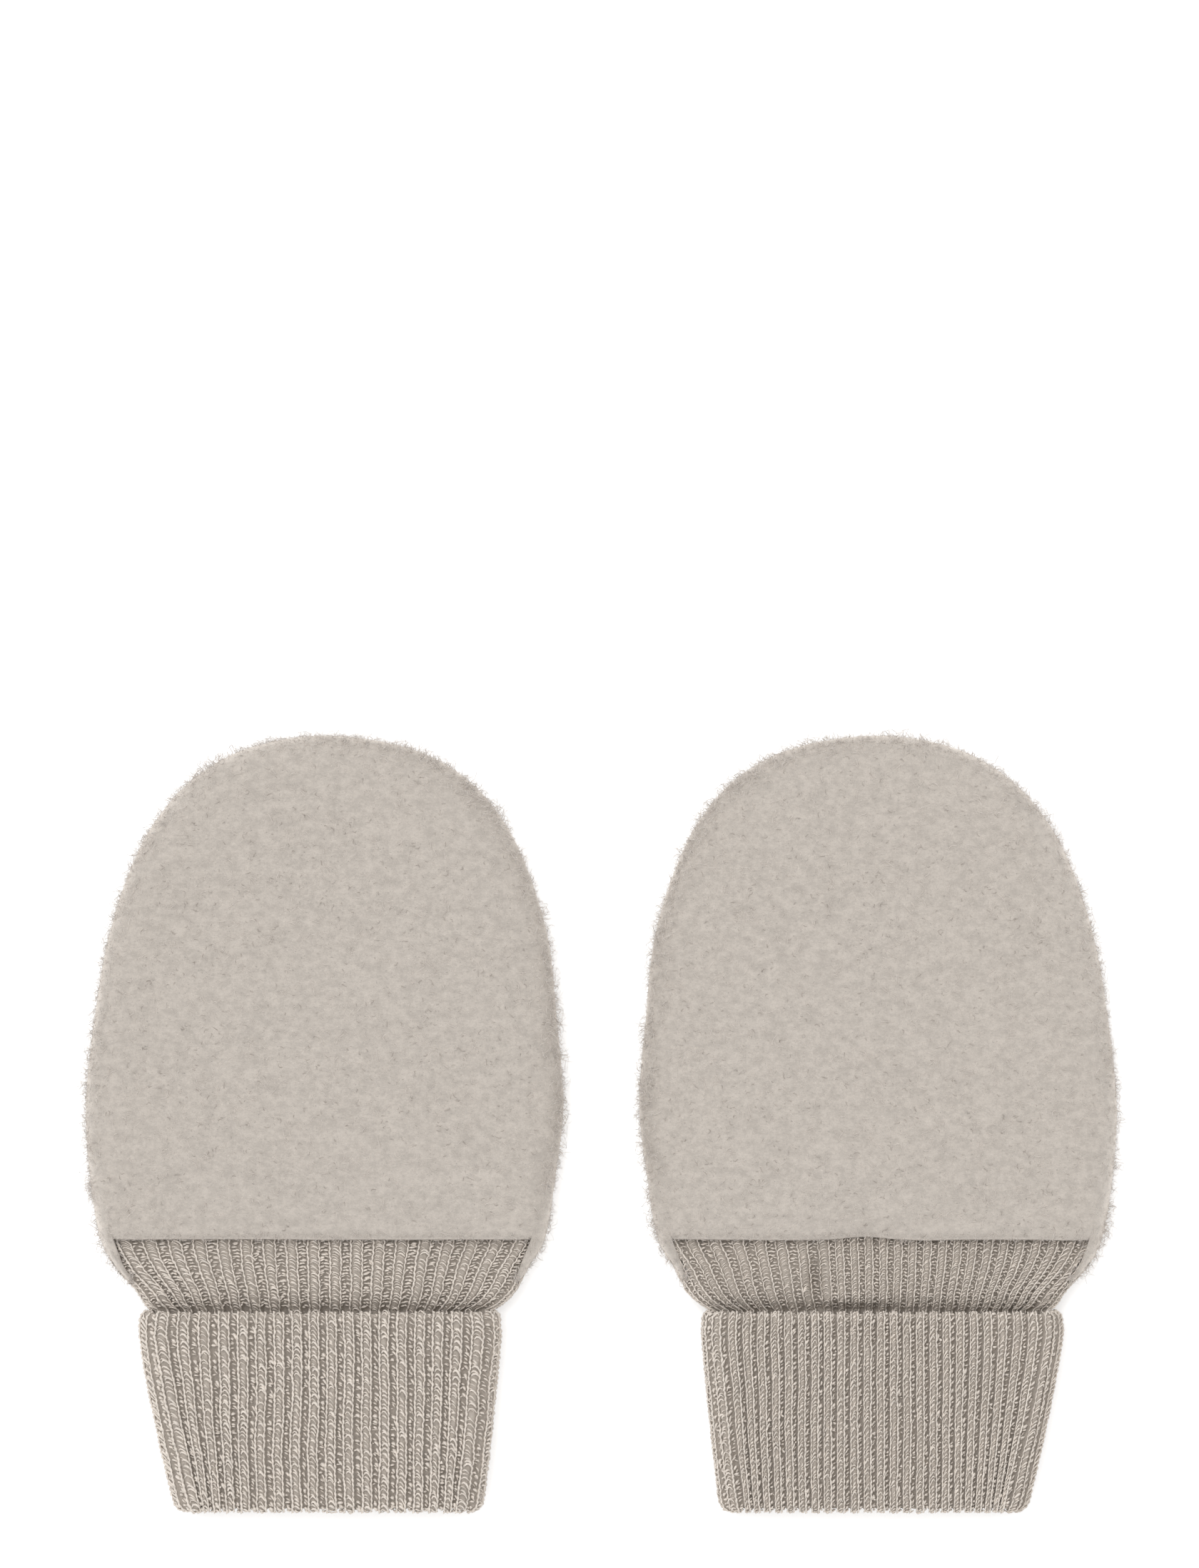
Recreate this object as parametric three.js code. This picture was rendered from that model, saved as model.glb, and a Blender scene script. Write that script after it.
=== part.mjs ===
// A pair of thumbless baby mittens in thick wool fleece, lying flat side by side, each with a rib cuff
// turned up. Millimetres. X runs across the pair, Y from the cuffs to the fingertips, Z up from the
// surface they lie on. Each mitten is two fleece panels sewn round the edge, and one doubled rib tube
// sewn into its mouth and turned up.

import * as THREE from "three";

// Driving sizes of one mitten. Along is measured from the seam between fleece and rib, towards the
// fingertips.
const HAND_LENGTH = 94.4;
const FLEECE = 3.0;
const SEAM_GAP = 0.3;
const EDGE_HEIGHT = 4.65; // where the front and back panels meet
const HAND_TOP = 8.9;
const HAND_CROWN = 0.7; // extra height in the middle of the hand
const MOUTH_TURN = 2.0; // at the sides of the mouth, the inner edge of the fleece lies this much higher
const BACK_DROP = 8.0; // the back panel reaches this much lower than the front one
const MITTEN_SPACING = 103.1;

// Rib knit: a doubled cloth, thicker over its ribs than where it is squeezed between layers.
const RIB_WALL = 2.1;
const RIB_CORE = 1.5;
const RIB_DEPTH = 0.6;
const CUFF_EDGE = -13.2; // upper edge of the turned-up cuff
const CUFF_FOLD = -50.6; // the fold at the wrist
const CUFF_TOP = 2 * EDGE_HEIGHT;
const INNER_TUCK = 3.4; // at the seam, the inner edge of the rib lies this much lower than its outer edge
const SIDE_GAPS = 3; // at the sides, the gap to the slanting mouth is this many times the gap at the top
const FOLD_ROOM = 0.9; // what the fold at the wrist adds beyond the cloth
const HIDDEN_TUCK = 1.8; // the plain, hidden stretch begins this far under the turned-up edge
const CUFF_SAG = 0.5; // the top is this much lower at the sides than in the middle
const LEFT_RIBS = 20;
const RIGHT_RIBS = 27;

// Half widths of the hand and the neck of the rib, on the side away from the other mitten and the side
// towards it.
const OUTLINE = [
  { along: -13.2, outer: 32.2, inner: 31.2 },
  { along: -12.2, outer: 33.3, inner: 33.0 },
  { along: -9.6, outer: 35.2, inner: 35.8 },
  { along: -5.0, outer: 39.6, inner: 38.7 },
  { along: 0.0, outer: 42.3, inner: 41.6 },
  { along: 11.7, outer: 44.3, inner: 43.6 },
  { along: 25.0, outer: 45.1, inner: 45.1 },
  { along: 40.9, outer: 43.5, inner: 43.9 },
  { along: 56.9, outer: 40.7, inner: 42.1 },
  { along: 72.9, outer: 35.1, inner: 36.8 },
  { along: 83.5, outer: 27.8, inner: 29.8 },
  { along: 90.5, outer: 18.2, inner: 20.0 },
  { along: HAND_LENGTH, outer: 0, inner: 0 },
];

// Half widths of the turned-up cuff, over its ribs.
const CUFF_OUTLINE = [
  { along: -51.0, outer: 27.6, inner: 29.4 },
  { along: -34.0, outer: 31.5, inner: 31.3 },
  { along: -18.0, outer: 34.4, inner: 32.8 },
  { along: -13.0, outer: 34.2, inner: 32.6 },
];

// Height of the rib's upper face between the seam and the turned-up edge: it swells, then dips into the
// groove.
const NECK_HEIGHT = [
  { along: CUFF_EDGE, top: CUFF_TOP - RIB_WALL - SEAM_GAP },
  { along: -10.5, top: 7.5 },
  { along: -6.5, top: 8.1 },
  { along: -1.8, top: 8.0 },
  { along: 0.0, top: 7.9 },
];

// How far in from the edge the hand goes on rounding, at the mouth and on each side.
const MOUTH_ROUNDING = EDGE_HEIGHT;
const OUTER_ROUNDING = 7.5;
const INNER_ROUNDING = 13;
const UNDER_ROUNDING = 6;
const ROUNDING_REACH = 25;
const LIP_DROP = 0.7; // the fleece rolls down by this much at the seam
const LIP_REACH = 3;

// Mesh steps.
const HAND_ROWS = 16;
const OUTLINE_STEPS = 60;
const TIP_CROWDING = 2.1; // crowds the rows towards the fingertips
const EDGE_STEPS = 3; // columns of a panel on each rounded side
const FLAT_STEPS = 14; // columns between them
const PLAIN_STEPS = 32;
const UNDER_STEPS = 10;
const UNDER_SIDE_RIBS = 2; // ribs that show under each rounded side; the rest of the underside rests flat
const EDGE_SHARE = 0.11; // share of a face of the flattened tube that each rounded side takes

// Shares of the neck, from the seam to the groove, where the rib has a ring of points.
const NECK_STEPS = [0.12, 0.4, 0.7, 0.9, 1];
const INNER_NECK_STEP = 0.7;

// The rounded upper edge of the turned-up cuff and the fold at the wrist: how far in from the edge, and
// how deep.
const TURNED_EDGE = [
  { in: 0.5, deep: 1.6 },
  { in: 0, deep: 0.8 },
  { in: 1.5, deep: 0 },
  { in: 18, deep: 0 },
];
const WRIST_FOLD = [
  { in: 2, deep: 0 },
  { in: 0.6, deep: 0.6 },
  { in: 0, deep: 2 },
];
const BORE_MOUTH = [
  { in: 0.6, short: 0.5 },
  { in: 3, short: 0 },
];

// One rib across its width: where its corners lie, and whether they lie in the valley.
const RIB_CORNERS = [
  { share: 0.21, sunk: 1 },
  { share: 0.29, sunk: 0 },
  { share: 0.71, sunk: 0 },
  { share: 0.79, sunk: 1 },
];

// A smooth curve through one column of a table, read at a place along the mitten.
function readTable(rows, column, along) {
  const last = rows.length - 1;
  const at = THREE.MathUtils.clamp(along, rows[0].along, rows[last].along);
  const next = Math.max(1, rows.findIndex((row) => row.along >= at));
  const slopeAt = (i) => {
    const below = rows[Math.max(i - 1, 0)];
    const above = rows[Math.min(i + 1, last)];
    return (above[column] - below[column]) / (above.along - below.along);
  };
  const from = rows[next - 1];
  const to = rows[next];
  const span = to.along - from.along;
  const t = (at - from.along) / span;
  const bend = t * t * (3 - 2 * t);
  const leave = span * slopeAt(next - 1) * t * (1 - t) * (1 - t);
  const arrive = span * slopeAt(next) * t * t * (t - 1);
  return from[column] + (to[column] - from[column]) * bend + leave + arrive;
}

// The squares of the half widths, which run straight into a round fingertip.
const OUTLINE_SQUARES = OUTLINE.map((row) => ({
  along: row.along,
  outer: row.outer ** 2,
  inner: row.inner ** 2,
}));

// Half width of hand and neck on one side. outward is -1 for the left mitten and 1 for the right one.
function handEdge(outward, direction, along) {
  const column = direction === outward ? "outer" : "inner";
  return Math.sqrt(Math.max(0, readTable(OUTLINE_SQUARES, column, along)));
}

function cuffEdge(outward, direction, along) {
  return readTable(CUFF_OUTLINE, direction === outward ? "outer" : "inner", along);
}

// Goes from 0 at an edge to 1 at the given reach, along a quarter circle.
function roundOff(distance, reach) {
  const left = 1 - THREE.MathUtils.clamp(distance / reach, 0, 1);
  return Math.sqrt(1 - left * left);
}

// Where a place lies on a section with round sides: how far across, and the direction that its surface
// faces. run goes from 0 at the left edge to 1 at the right one.
function onSection(run) {
  const angle = (Math.PI / 2) * Math.min(1, Math.min(run, 1 - run) / EDGE_SHARE);
  const side = run < 0.5 ? -1 : 1;
  const flat = THREE.MathUtils.clamp((2 * run - 1) / (1 - 2 * EDGE_SHARE), -1, 1);
  return { flat, facing: side * Math.cos(angle), up: Math.sin(angle) };
}

// How far across a round-sided section its surface lies, for half widths left and right.
function acrossSection(run, left, right, radius) {
  const { flat, facing } = onSection(run);
  return THREE.MathUtils.lerp(radius - left, right - radius, (flat + 1) / 2) + facing * radius;
}

// The columns of a panel, from its left edge to its right one.
function panelRuns() {
  const runs = [];
  for (let step = 0; step < EDGE_STEPS; step++) runs.push((EDGE_SHARE * step) / EDGE_STEPS);
  const middle = Array.from({ length: FLAT_STEPS + 1 }, (_, step) =>
    THREE.MathUtils.lerp(EDGE_SHARE, 1 - EDGE_SHARE, step / FLAT_STEPS),
  );
  return [...runs, ...middle, ...runs.map((run) => 1 - run).reverse()];
}

// The mouth runs straight over the top and drops down the sides to the lower edge of the back panel.
function mouthAlong(up) {
  return -BACK_DROP * (1 - up);
}

// Vertices and faces of a closed solid, collected ring by ring or row by row.
class Solid {
  constructor() {
    this.points = [];
    this.faces = [];
  }

  add(point) {
    this.points.push(point);
    return this.points.length - 1;
  }

  addRow(points) {
    return points.map((point) => this.add(point));
  }

  quad(a, b, c, d) {
    this.faces.push([a, b, c], [a, c, d]);
  }

  // Joins two closed rings, whose places go round in the same direction and may differ in number.
  joinRings(first, second) {
    let i = 0;
    let j = 0;
    const n = first.length;
    const m = second.length;
    const partOf = (ring, k) => ring[k % ring.length].part + Math.floor(k / ring.length);
    while (i < n || j < m) {
      const a = first[i % n].index;
      const b = second[j % m].index;
      const middleOfFirst = partOf(first, i) + partOf(first, i + 1);
      const middleOfSecond = partOf(second, j) + partOf(second, j + 1);
      if (j >= m || (i < n && middleOfFirst <= middleOfSecond)) {
        this.faces.push([a, first[(i + 1) % n].index, b]);
        i += 1;
      } else {
        this.faces.push([a, second[(j + 1) % m].index, b]);
        j += 1;
      }
    }
  }

  // A grid of rows that ends in one point, turned over for the inner face of a wall.
  joinRows(rows, turned) {
    const face = (...corners) => this.faces.push(turned ? corners.reverse() : corners);
    for (let r = 0; r + 1 < rows.length; r++) {
      const lower = rows[r];
      const upper = rows[r + 1];
      for (let c = 0; c + 1 < lower.length; c++) {
        if (upper.length === 1) {
          face(lower[c], lower[c + 1], upper[0]);
        } else {
          face(lower[c], lower[c + 1], upper[c + 1]);
          face(lower[c], upper[c + 1], upper[c]);
        }
      }
    }
  }

  geometry() {
    const [a, b, c] = [new THREE.Vector3(), new THREE.Vector3(), new THREE.Vector3()];
    let volume = 0;
    for (const [i, j, k] of this.faces) {
      a.copy(this.points[i]);
      b.copy(this.points[j]);
      c.copy(this.points[k]);
      volume += a.dot(b.cross(c));
    }
    const faces = volume < 0 ? this.faces.map((face) => [...face].reverse()) : this.faces;
    const made = new THREE.BufferGeometry().setFromPoints(this.points);
    made.setIndex(faces.flat());
    made.computeVertexNormals();
    return made;
  }
}

// The nearest point of the hand's outline, as a distance and the direction in from it.
function outlineFinder(outward) {
  const line = [];
  for (const direction of [-1, 1])
    for (let i = 0; i <= OUTLINE_STEPS; i++) {
      const share = direction < 0 ? i / OUTLINE_STEPS : 1 - i / OUTLINE_STEPS;
      const along = -BACK_DROP + (HAND_LENGTH + BACK_DROP) * (1 - (1 - share) ** 2);
      line.push(new THREE.Vector2(direction * handEdge(outward, direction, along), along));
    }
  return (place) => {
    let best = { distance: Infinity, inward: new THREE.Vector2() };
    for (let i = 0; i + 1 < line.length; i++) {
      const run = line[i + 1].clone().sub(line[i]);
      if (run.lengthSq() === 0) continue;
      const share = THREE.MathUtils.clamp(place.clone().sub(line[i]).dot(run) / run.lengthSq(), 0, 1);
      const distance = line[i].clone().addScaledVector(run, share).distanceTo(place);
      if (distance < best.distance)
        best = { distance, inward: new THREE.Vector2(run.y, -run.x).normalize() };
    }
    return best;
  };
}

// One fleece panel: the front one lies over the edge height, the back one under it, flat on the surface.
function fleecePanel(outward, isFront) {
  const solid = new Solid();
  const nearest = outlineFinder(outward);
  const outerRows = [];
  const innerRows = [];
  const runs = panelRuns();
  const widest = { left: handEdge(outward, -1, 0), right: handEdge(outward, 1, 0) };
  for (let r = 0; r <= HAND_ROWS; r++) {
    const share = 1 - (1 - r / HAND_ROWS) ** TIP_CROWDING;
    const outerRow = [];
    const innerRow = [];
    const atTip = r === HAND_ROWS;
    for (const run of atTip ? [0.5] : runs) {
      const offset = acrossSection(run, widest.left, widest.right, MOUTH_ROUNDING);
      const direction = offset < 0 ? -1 : 1;
      const crossing = offset / (direction < 0 ? widest.left : widest.right);
      const mouth = mouthAlong(isFront ? onSection(run).up : 0);
      const along = mouth + (HAND_LENGTH - mouth) * share;
      const x = atTip ? 0 : crossing * handEdge(outward, direction, along);
      const onEdge = atTip || run === 0 || run === 1;
      const { distance, inward } = nearest(new THREE.Vector2(x, along));
      const depth = onEdge ? 0 : distance;
      const spread = THREE.MathUtils.smoothstep(along, 0, ROUNDING_REACH);
      const sideRounding = direction === outward ? OUTER_ROUNDING : INNER_ROUNDING;
      const fullRounding = isFront ? sideRounding : UNDER_ROUNDING;
      const rounding = THREE.MathUtils.lerp(MOUTH_ROUNDING, fullRounding, spread);
      const rise = roundOff(depth, rounding);
      const lip = LIP_DROP * (1 - roundOff(along - mouth, LIP_REACH));
      const crown = HAND_CROWN * (1 - crossing * crossing) * roundOff(HAND_LENGTH - along, HAND_LENGTH);
      const rim = EDGE_HEIGHT + (isFront ? SEAM_GAP / 2 : -SEAM_GAP / 2);
      const face = isFront ? HAND_TOP + crown - lip : 0;
      const back = isFront ? HAND_TOP + crown - FLEECE : FLEECE;
      const shift = FLEECE * (1 - THREE.MathUtils.clamp(depth / rounding, 0, 1));
      outerRow.push(new THREE.Vector3(x, along, rim + (face - rim) * rise));
      const innerX = x + inward.x * shift;
      const turn = MOUTH_TURN * (1 - onSection(run).up);
      const innerAlong = r === 0 ? along + turn : along + inward.y * shift;
      innerRow.push(new THREE.Vector3(innerX, innerAlong, rim + (back - rim) * rise));
    }
    outerRows.push(solid.addRow(outerRow));
    innerRows.push(solid.addRow(innerRow));
  }
  solid.joinRows(outerRows, false);
  solid.joinRows(innerRows, true);
  const border = (rows) => [
    ...rows[0],
    ...rows.slice(1).map((row) => row[row.length - 1]),
    ...rows.slice(1, -1).map((row) => row[0]).reverse(),
  ];
  const outer = border(outerRows);
  const inner = border(innerRows);
  outer.forEach((point, i) => {
    const j = (i + 1) % outer.length;
    solid.quad(point, inner[i], inner[j], outer[j]);
  });
  return solid.geometry();
}

// The places round a flattened tube. part goes over the top from its left edge to its right one, then
// back below.
const overPlace = (run) => ({ part: run / 2, run, side: 1, sunk: 0 });
const underPlace = (run) => ({ part: 1 - run / 2, run, side: -1, sunk: 0 });

function ribbedPlaces(ribs) {
  const places = [];
  for (let rib = 0; rib < ribs; rib++)
    for (const { share, sunk } of RIB_CORNERS)
      places.push({ ...overPlace((rib + share) / ribs), sunk });
  const under = [];
  for (let rib = 0; rib < UNDER_SIDE_RIBS; rib++)
    for (const { share, sunk } of RIB_CORNERS) under.push({ run: (rib + share) / ribs, sunk });
  const mirrored = under.map(({ run, sunk }) => ({ run: 1 - run, sunk })).reverse();
  const plainFrom = (UNDER_SIDE_RIBS + 1) / ribs;
  for (let step = 0; step <= UNDER_STEPS; step++)
    under.push({ run: THREE.MathUtils.lerp(plainFrom, 1 - plainFrom, step / UNDER_STEPS), sunk: 0 });
  const below = [...under, ...mirrored].map(({ run, sunk }) => ({ ...underPlace(run), sunk }));
  return [...places, ...below.reverse()];
}

function plainPlaces() {
  const runs = Array.from({ length: PLAIN_STEPS / 2 }, (_, step) => (step + 0.5) / (PLAIN_STEPS / 2));
  return [...runs.map(overPlace), ...runs.map(underPlace).reverse()];
}

// The same places as the columns of the two panels that the rib is sewn to.
function seamPlaces() {
  const runs = panelRuns();
  return [...runs.map(overPlace), ...runs.slice(1, -1).map(underPlace).reverse()];
}

// Adds one ring of the rib tube. layer says how deep it lies under the surface over the ribs, and where
// it is.
function ribRing(solid, places, layer) {
  return places.map(({ part, run, side, sunk }) => {
    const up = side * onSection(run).up;
    const along = layer.along(up);
    const edges = layer.edges(along);
    const heights = layer.heights(along);
    const deep = layer.deep + sunk * RIB_DEPTH;
    const { flat, facing } = onSection(run);
    const left = EDGE_HEIGHT - edges.left;
    const right = edges.right - EDGE_HEIGHT;
    const x = THREE.MathUtils.lerp(left, right, (flat + 1) / 2) + facing * (EDGE_HEIGHT - deep);
    const reach = up > 0 ? heights.top - EDGE_HEIGHT : EDGE_HEIGHT - heights.bottom;
    const across = x / (x < 0 ? edges.left : edges.right);
    const sag = up > 0 ? CUFF_SAG * across * across * up : 0;
    const z = EDGE_HEIGHT + up * (reach - deep) - sag;
    return { part, index: solid.add(new THREE.Vector3(x, along, z)) };
  });
}

// The doubled rib: from the seam down the neck, inside the turned-up part, round the fold at the wrist
// and up again.
function ribCuff(outward, ribs) {
  const solid = new Solid();
  const ribbed = ribbedPlaces(ribs);
  const plain = plainPlaces();
  const seam = seamPlaces();
  const neckEdges = (along) => ({
    left: handEdge(outward, -1, along),
    right: handEdge(outward, 1, along),
  });
  const cuffEdges = (along) => ({
    left: cuffEdge(outward, -1, along),
    right: cuffEdge(outward, 1, along),
  });
  const cuffHeights = () => ({ top: CUFF_TOP, bottom: 0 });
  const inLayer = RIB_WALL + SEAM_GAP;
  const neckHeights = (along) => ({
    top: readTable(NECK_HEIGHT, "top", along),
    bottom: inLayer * THREE.MathUtils.smoothstep(-along, BACK_DROP, -CUFF_EDGE),
  });
  const ribMouth = (up) => mouthAlong(up) - SEAM_GAP * THREE.MathUtils.lerp(SIDE_GAPS, 1, up);
  const neckStation = (share, deep, tuck = 0) => ({
    along: (up) => THREE.MathUtils.lerp(ribMouth(Math.max(up, 0)) - tuck, CUFF_EDGE, share),
    edges: neckEdges,
    heights: neckHeights,
    deep,
  });
  const cuffStation = (along, deep) => ({
    along: () => along,
    edges: cuffEdges,
    heights: cuffHeights,
    deep,
  });

  const foldInside = CUFF_FOLD + RIB_WALL + FOLD_ROOM;
  const hiddenTop = CUFF_EDGE - HIDDEN_TUCK;
  const bore = inLayer + RIB_CORE;
  const cuffRing = ({ in: inward, deep }, edge, direction) => cuffStation(edge + direction * inward, deep);
  const stations = [
    [seam, neckStation(0, 0)],
    ...NECK_STEPS.map((share) => [ribbed, neckStation(share, 0)]),
    [plain, cuffStation(hiddenTop, inLayer)],
    [plain, cuffStation(foldInside, inLayer)],
    [plain, cuffStation(foldInside, RIB_WALL)],
    [plain, cuffStation(hiddenTop, RIB_WALL)],
    ...TURNED_EDGE.map((step) => [ribbed, cuffRing(step, CUFF_EDGE, -1)]),
    ...WRIST_FOLD.map((step) => [ribbed, cuffRing(step, CUFF_FOLD, 1)]),
    ...BORE_MOUTH.map((step) => [plain, cuffRing({ ...step, deep: bore - step.short }, CUFF_FOLD, 1)]),
    [plain, cuffStation(hiddenTop, bore)],
    [plain, neckStation(INNER_NECK_STEP, RIB_CORE)],
    [seam, neckStation(0, RIB_WALL, INNER_TUCK)],
  ];
  const rings = stations.map(([places, layer]) => ribRing(solid, places, layer));
  rings.forEach((ring, i) => solid.joinRings(ring, rings[(i + 1) % rings.length]));
  return solid.geometry();
}

const FLEECE_CLOTH = { color: 0xc6bdb5, roughness: 0.97, metalness: 0 };
const RIB_CLOTH = { color: 0xb0a79d, roughness: 0.95, metalness: 0 };

function mitten(name, outward, ribs) {
  const made = new THREE.Group();
  const piece = (pieceName, geometry, cloth) => {
    const mesh = new THREE.Mesh(geometry, new THREE.MeshStandardMaterial(cloth));
    mesh.name = `${name}_${pieceName}`;
    made.add(mesh);
  };
  piece("front_panel", fleecePanel(outward, true), FLEECE_CLOTH);
  piece("back_panel", fleecePanel(outward, false), FLEECE_CLOTH);
  piece("rib_cuff", ribCuff(outward, ribs), RIB_CLOTH);
  made.position.x = (outward * MITTEN_SPACING) / 2;
  return made;
}

const pair = new THREE.Group();
pair.add(mitten("left", -1, LEFT_RIBS));
pair.add(mitten("right", 1, RIGHT_RIBS));

// The origin is the middle of the pair's footprint.
const middle = new THREE.Box3().setFromObject(pair).getCenter(new THREE.Vector3());
pair.position.set(-middle.x, -middle.y, 0);

export default pair;
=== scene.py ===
# %% [markdown]
# # A pair of wool fleece mittens for a baby
# The real pair is sewn from thick, slightly felted wool fleece, with a doubled tube of rib knit set into
# each mouth and turned up at the wrist. It lies flat, so almost all of its look is in two cloths: a fleece
# that is soft, even and fuzzy at its edges, and a rib whose stitches can be counted. This lesson first
# takes the plain measured solids as a frame, then makes each cloth over them: a shell for its form, and
# real fibres and stitches on top, because at this size they are what the eye reads as wool.

import bpy
import math
import numpy as np
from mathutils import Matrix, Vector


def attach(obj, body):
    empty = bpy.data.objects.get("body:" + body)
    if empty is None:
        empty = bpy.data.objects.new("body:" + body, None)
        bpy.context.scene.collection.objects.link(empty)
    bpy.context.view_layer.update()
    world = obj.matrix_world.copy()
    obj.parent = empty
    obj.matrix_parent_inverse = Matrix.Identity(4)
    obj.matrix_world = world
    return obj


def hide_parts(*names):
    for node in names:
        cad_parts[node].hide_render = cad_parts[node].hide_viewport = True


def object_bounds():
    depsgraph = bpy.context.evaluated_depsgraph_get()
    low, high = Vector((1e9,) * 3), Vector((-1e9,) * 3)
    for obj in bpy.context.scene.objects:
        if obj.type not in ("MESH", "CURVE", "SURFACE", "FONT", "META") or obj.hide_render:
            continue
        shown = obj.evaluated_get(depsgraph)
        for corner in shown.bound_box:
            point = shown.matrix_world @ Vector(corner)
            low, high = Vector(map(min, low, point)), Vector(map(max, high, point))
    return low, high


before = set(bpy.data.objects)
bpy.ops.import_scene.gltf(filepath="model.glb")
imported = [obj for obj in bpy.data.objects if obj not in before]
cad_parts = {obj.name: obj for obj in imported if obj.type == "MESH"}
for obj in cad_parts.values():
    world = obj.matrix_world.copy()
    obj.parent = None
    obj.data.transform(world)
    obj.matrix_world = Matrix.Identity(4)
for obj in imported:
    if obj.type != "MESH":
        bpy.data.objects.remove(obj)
cad_low, cad_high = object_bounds()
MM = 0.001
print("solids:", sorted(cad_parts))
print("box in mm:", [round(v / MM, 1) for v in (*cad_low, *cad_high)])

# %% [markdown]
# ## Sizes
# Cloth is cut to a pattern, so the same few sizes and short tables that shaped the solids shape the cloth.
# Everything is in millimetres, measured along each mitten from the seam between fleece and rib, and turned
# to metres only when a mesh is made. The place of the seam is worked out from the frame.

# %% Pattern of one mitten
HAND_LENGTH = 94.4
EDGE_HEIGHT = 4.65
BACK_DROP = 8.0
CUFF_EDGE = -13.2
CUFF_FOLD = -50.6
FLOOR_GAP = 0.02

OUTLINE = [
    {"along": -13.2, "outer": 32.2, "inner": 31.2},
    {"along": -12.2, "outer": 33.3, "inner": 33.0},
    {"along": -9.6, "outer": 35.2, "inner": 35.8},
    {"along": -5.0, "outer": 39.6, "inner": 38.7},
    {"along": 0.0, "outer": 42.3, "inner": 41.6},
    {"along": 11.7, "outer": 44.3, "inner": 43.6},
    {"along": 25.0, "outer": 45.1, "inner": 45.1},
    {"along": 40.9, "outer": 43.5, "inner": 43.9},
    {"along": 56.9, "outer": 40.7, "inner": 42.1},
    {"along": 72.9, "outer": 35.1, "inner": 36.8},
    {"along": 83.5, "outer": 27.8, "inner": 29.8},
    {"along": 90.5, "outer": 18.2, "inner": 20.0},
    {"along": 94.4, "outer": 0.0, "inner": 0.0},
]
CUFF_OUTLINE = [
    {"along": -51.0, "outer": 27.6, "inner": 29.4},
    {"along": -34.0, "outer": 31.5, "inner": 31.3},
    {"along": -18.0, "outer": 34.4, "inner": 32.8},
    {"along": -13.0, "outer": 34.2, "inner": 32.6},
]
SEAM_Y = cad_low.y / MM - CUFF_FOLD
MITTENS = [
    {"name": "left", "outward": -1, "centre": -51.55, "ribs": 20, "seed": 11},
    {"name": "right", "outward": 1, "centre": 51.55, "ribs": 27, "seed": 47},
]
print("the seam lies at y =", round(SEAM_Y, 2), "mm")

# %% [markdown]
# ## Curves through a table
# A pattern cutter marks a few widths and draws a fair curve through them. The reader below does the same:
# it gives a smooth value between the rows. The hand's widths are read as squares, so that the curve closes
# in a round fingertip and not in a point. The cloth's own edge lies a little inside the measured outline,
# because in the photograph that line runs through the fuzz.

# %% Read the tables
FUZZ = 0.6
HALF_HAND = 43.0
WIDEST_AT = 25.0


def read_table(rows, column, along, power=1):
    at = np.array([row["along"] for row in rows])
    value = np.array([row[column] for row in rows]) ** power
    x = np.clip(along, at[0], at[-1])
    after = np.clip(np.searchsorted(at, x), 1, len(at) - 1)
    before = after - 1
    low = np.maximum(np.arange(len(at)) - 1, 0)
    high = np.minimum(np.arange(len(at)) + 1, len(at) - 1)
    slope = (value[high] - value[low]) / (at[high] - at[low])
    span = at[after] - at[before]
    t = (x - at[before]) / span
    curve = value[before] + (value[after] - value[before]) * t * t * (3 - 2 * t)
    curve = curve + span * slope[before] * t * (1 - t) ** 2
    return curve + span * slope[after] * t * t * (t - 1)


def hand_edge(mitten, side, along):
    """Half width of hand and neck on one side of a mitten: side is -1 for the left and 1 for the right."""
    column = "outer" if side == mitten["outward"] else "inner"
    return np.sqrt(np.maximum(0, read_table(OUTLINE, column, along, power=2)))


def fleece_edge(mitten, side, along):
    """The same for the fleece without its fuzz."""
    return hand_edge(mitten, side, along * HAND_LENGTH / (HAND_LENGTH - FUZZ)) * (1 - FUZZ / HALF_HAND)


def cuff_edge(mitten, side, along):
    return read_table(CUFF_OUTLINE, "outer" if side == mitten["outward"] else "inner", along)


def round_off(distance, reach):
    """Goes from 0 at an edge to 1 at the given reach, along a quarter circle."""
    left = 1 - np.clip(distance / reach, 0, 1)
    return np.sqrt(1 - left * left)


def ease(x, low, high):
    t = np.clip((x - low) / (high - low), 0, 1)
    return t * t * (3 - 2 * t)


def soft_noise(x, y, size, seed):
    """Smooth lumps from -1 to 1 over a plane, each about as wide as size."""
    cells = 64
    table = np.random.default_rng(seed).uniform(-1, 1, (cells, cells))
    u, v = np.broadcast_arrays(x / size, y / size)
    i, j = np.floor(u).astype(int), np.floor(v).astype(int)
    f, g = ease(u - i, 0, 1), ease(v - j, 0, 1)
    i, j, after_i, after_j = i % cells, j % cells, (i + 1) % cells, (j + 1) % cells
    near = table[i, j] * (1 - f) + table[after_i, j] * f
    far = table[i, after_j] * (1 - f) + table[after_i, after_j] * f
    return near * (1 - g) + far * g


widest = sum(hand_edge(MITTENS[0], side, WIDEST_AT) for side in (-1, 1))
print("widest hand:", round(float(widest), 1), "mm")

# %% [markdown]
# ## Meshes from points
# Cloth is a surface that is worked out point by point, so its meshes are written straight from arrays. One
# helper makes any mesh in millimetres, a second one weaves faces over a grid of points, and a third one
# gives a cloth its thickness with Solidify, as a real shell has.

# %% Helpers that make a piece
def finish_piece(piece, material, replaced=()):
    """Gives a piece its material and body, and hides the solids it stands for."""
    piece.data.materials.append(material)
    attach(piece, "root")
    if replaced:
        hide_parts(*replaced)
    piece.data.calc_loop_triangles()
    print(piece.name, "has", len(piece.data.loop_triangles), "triangles")
    return piece


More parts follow.
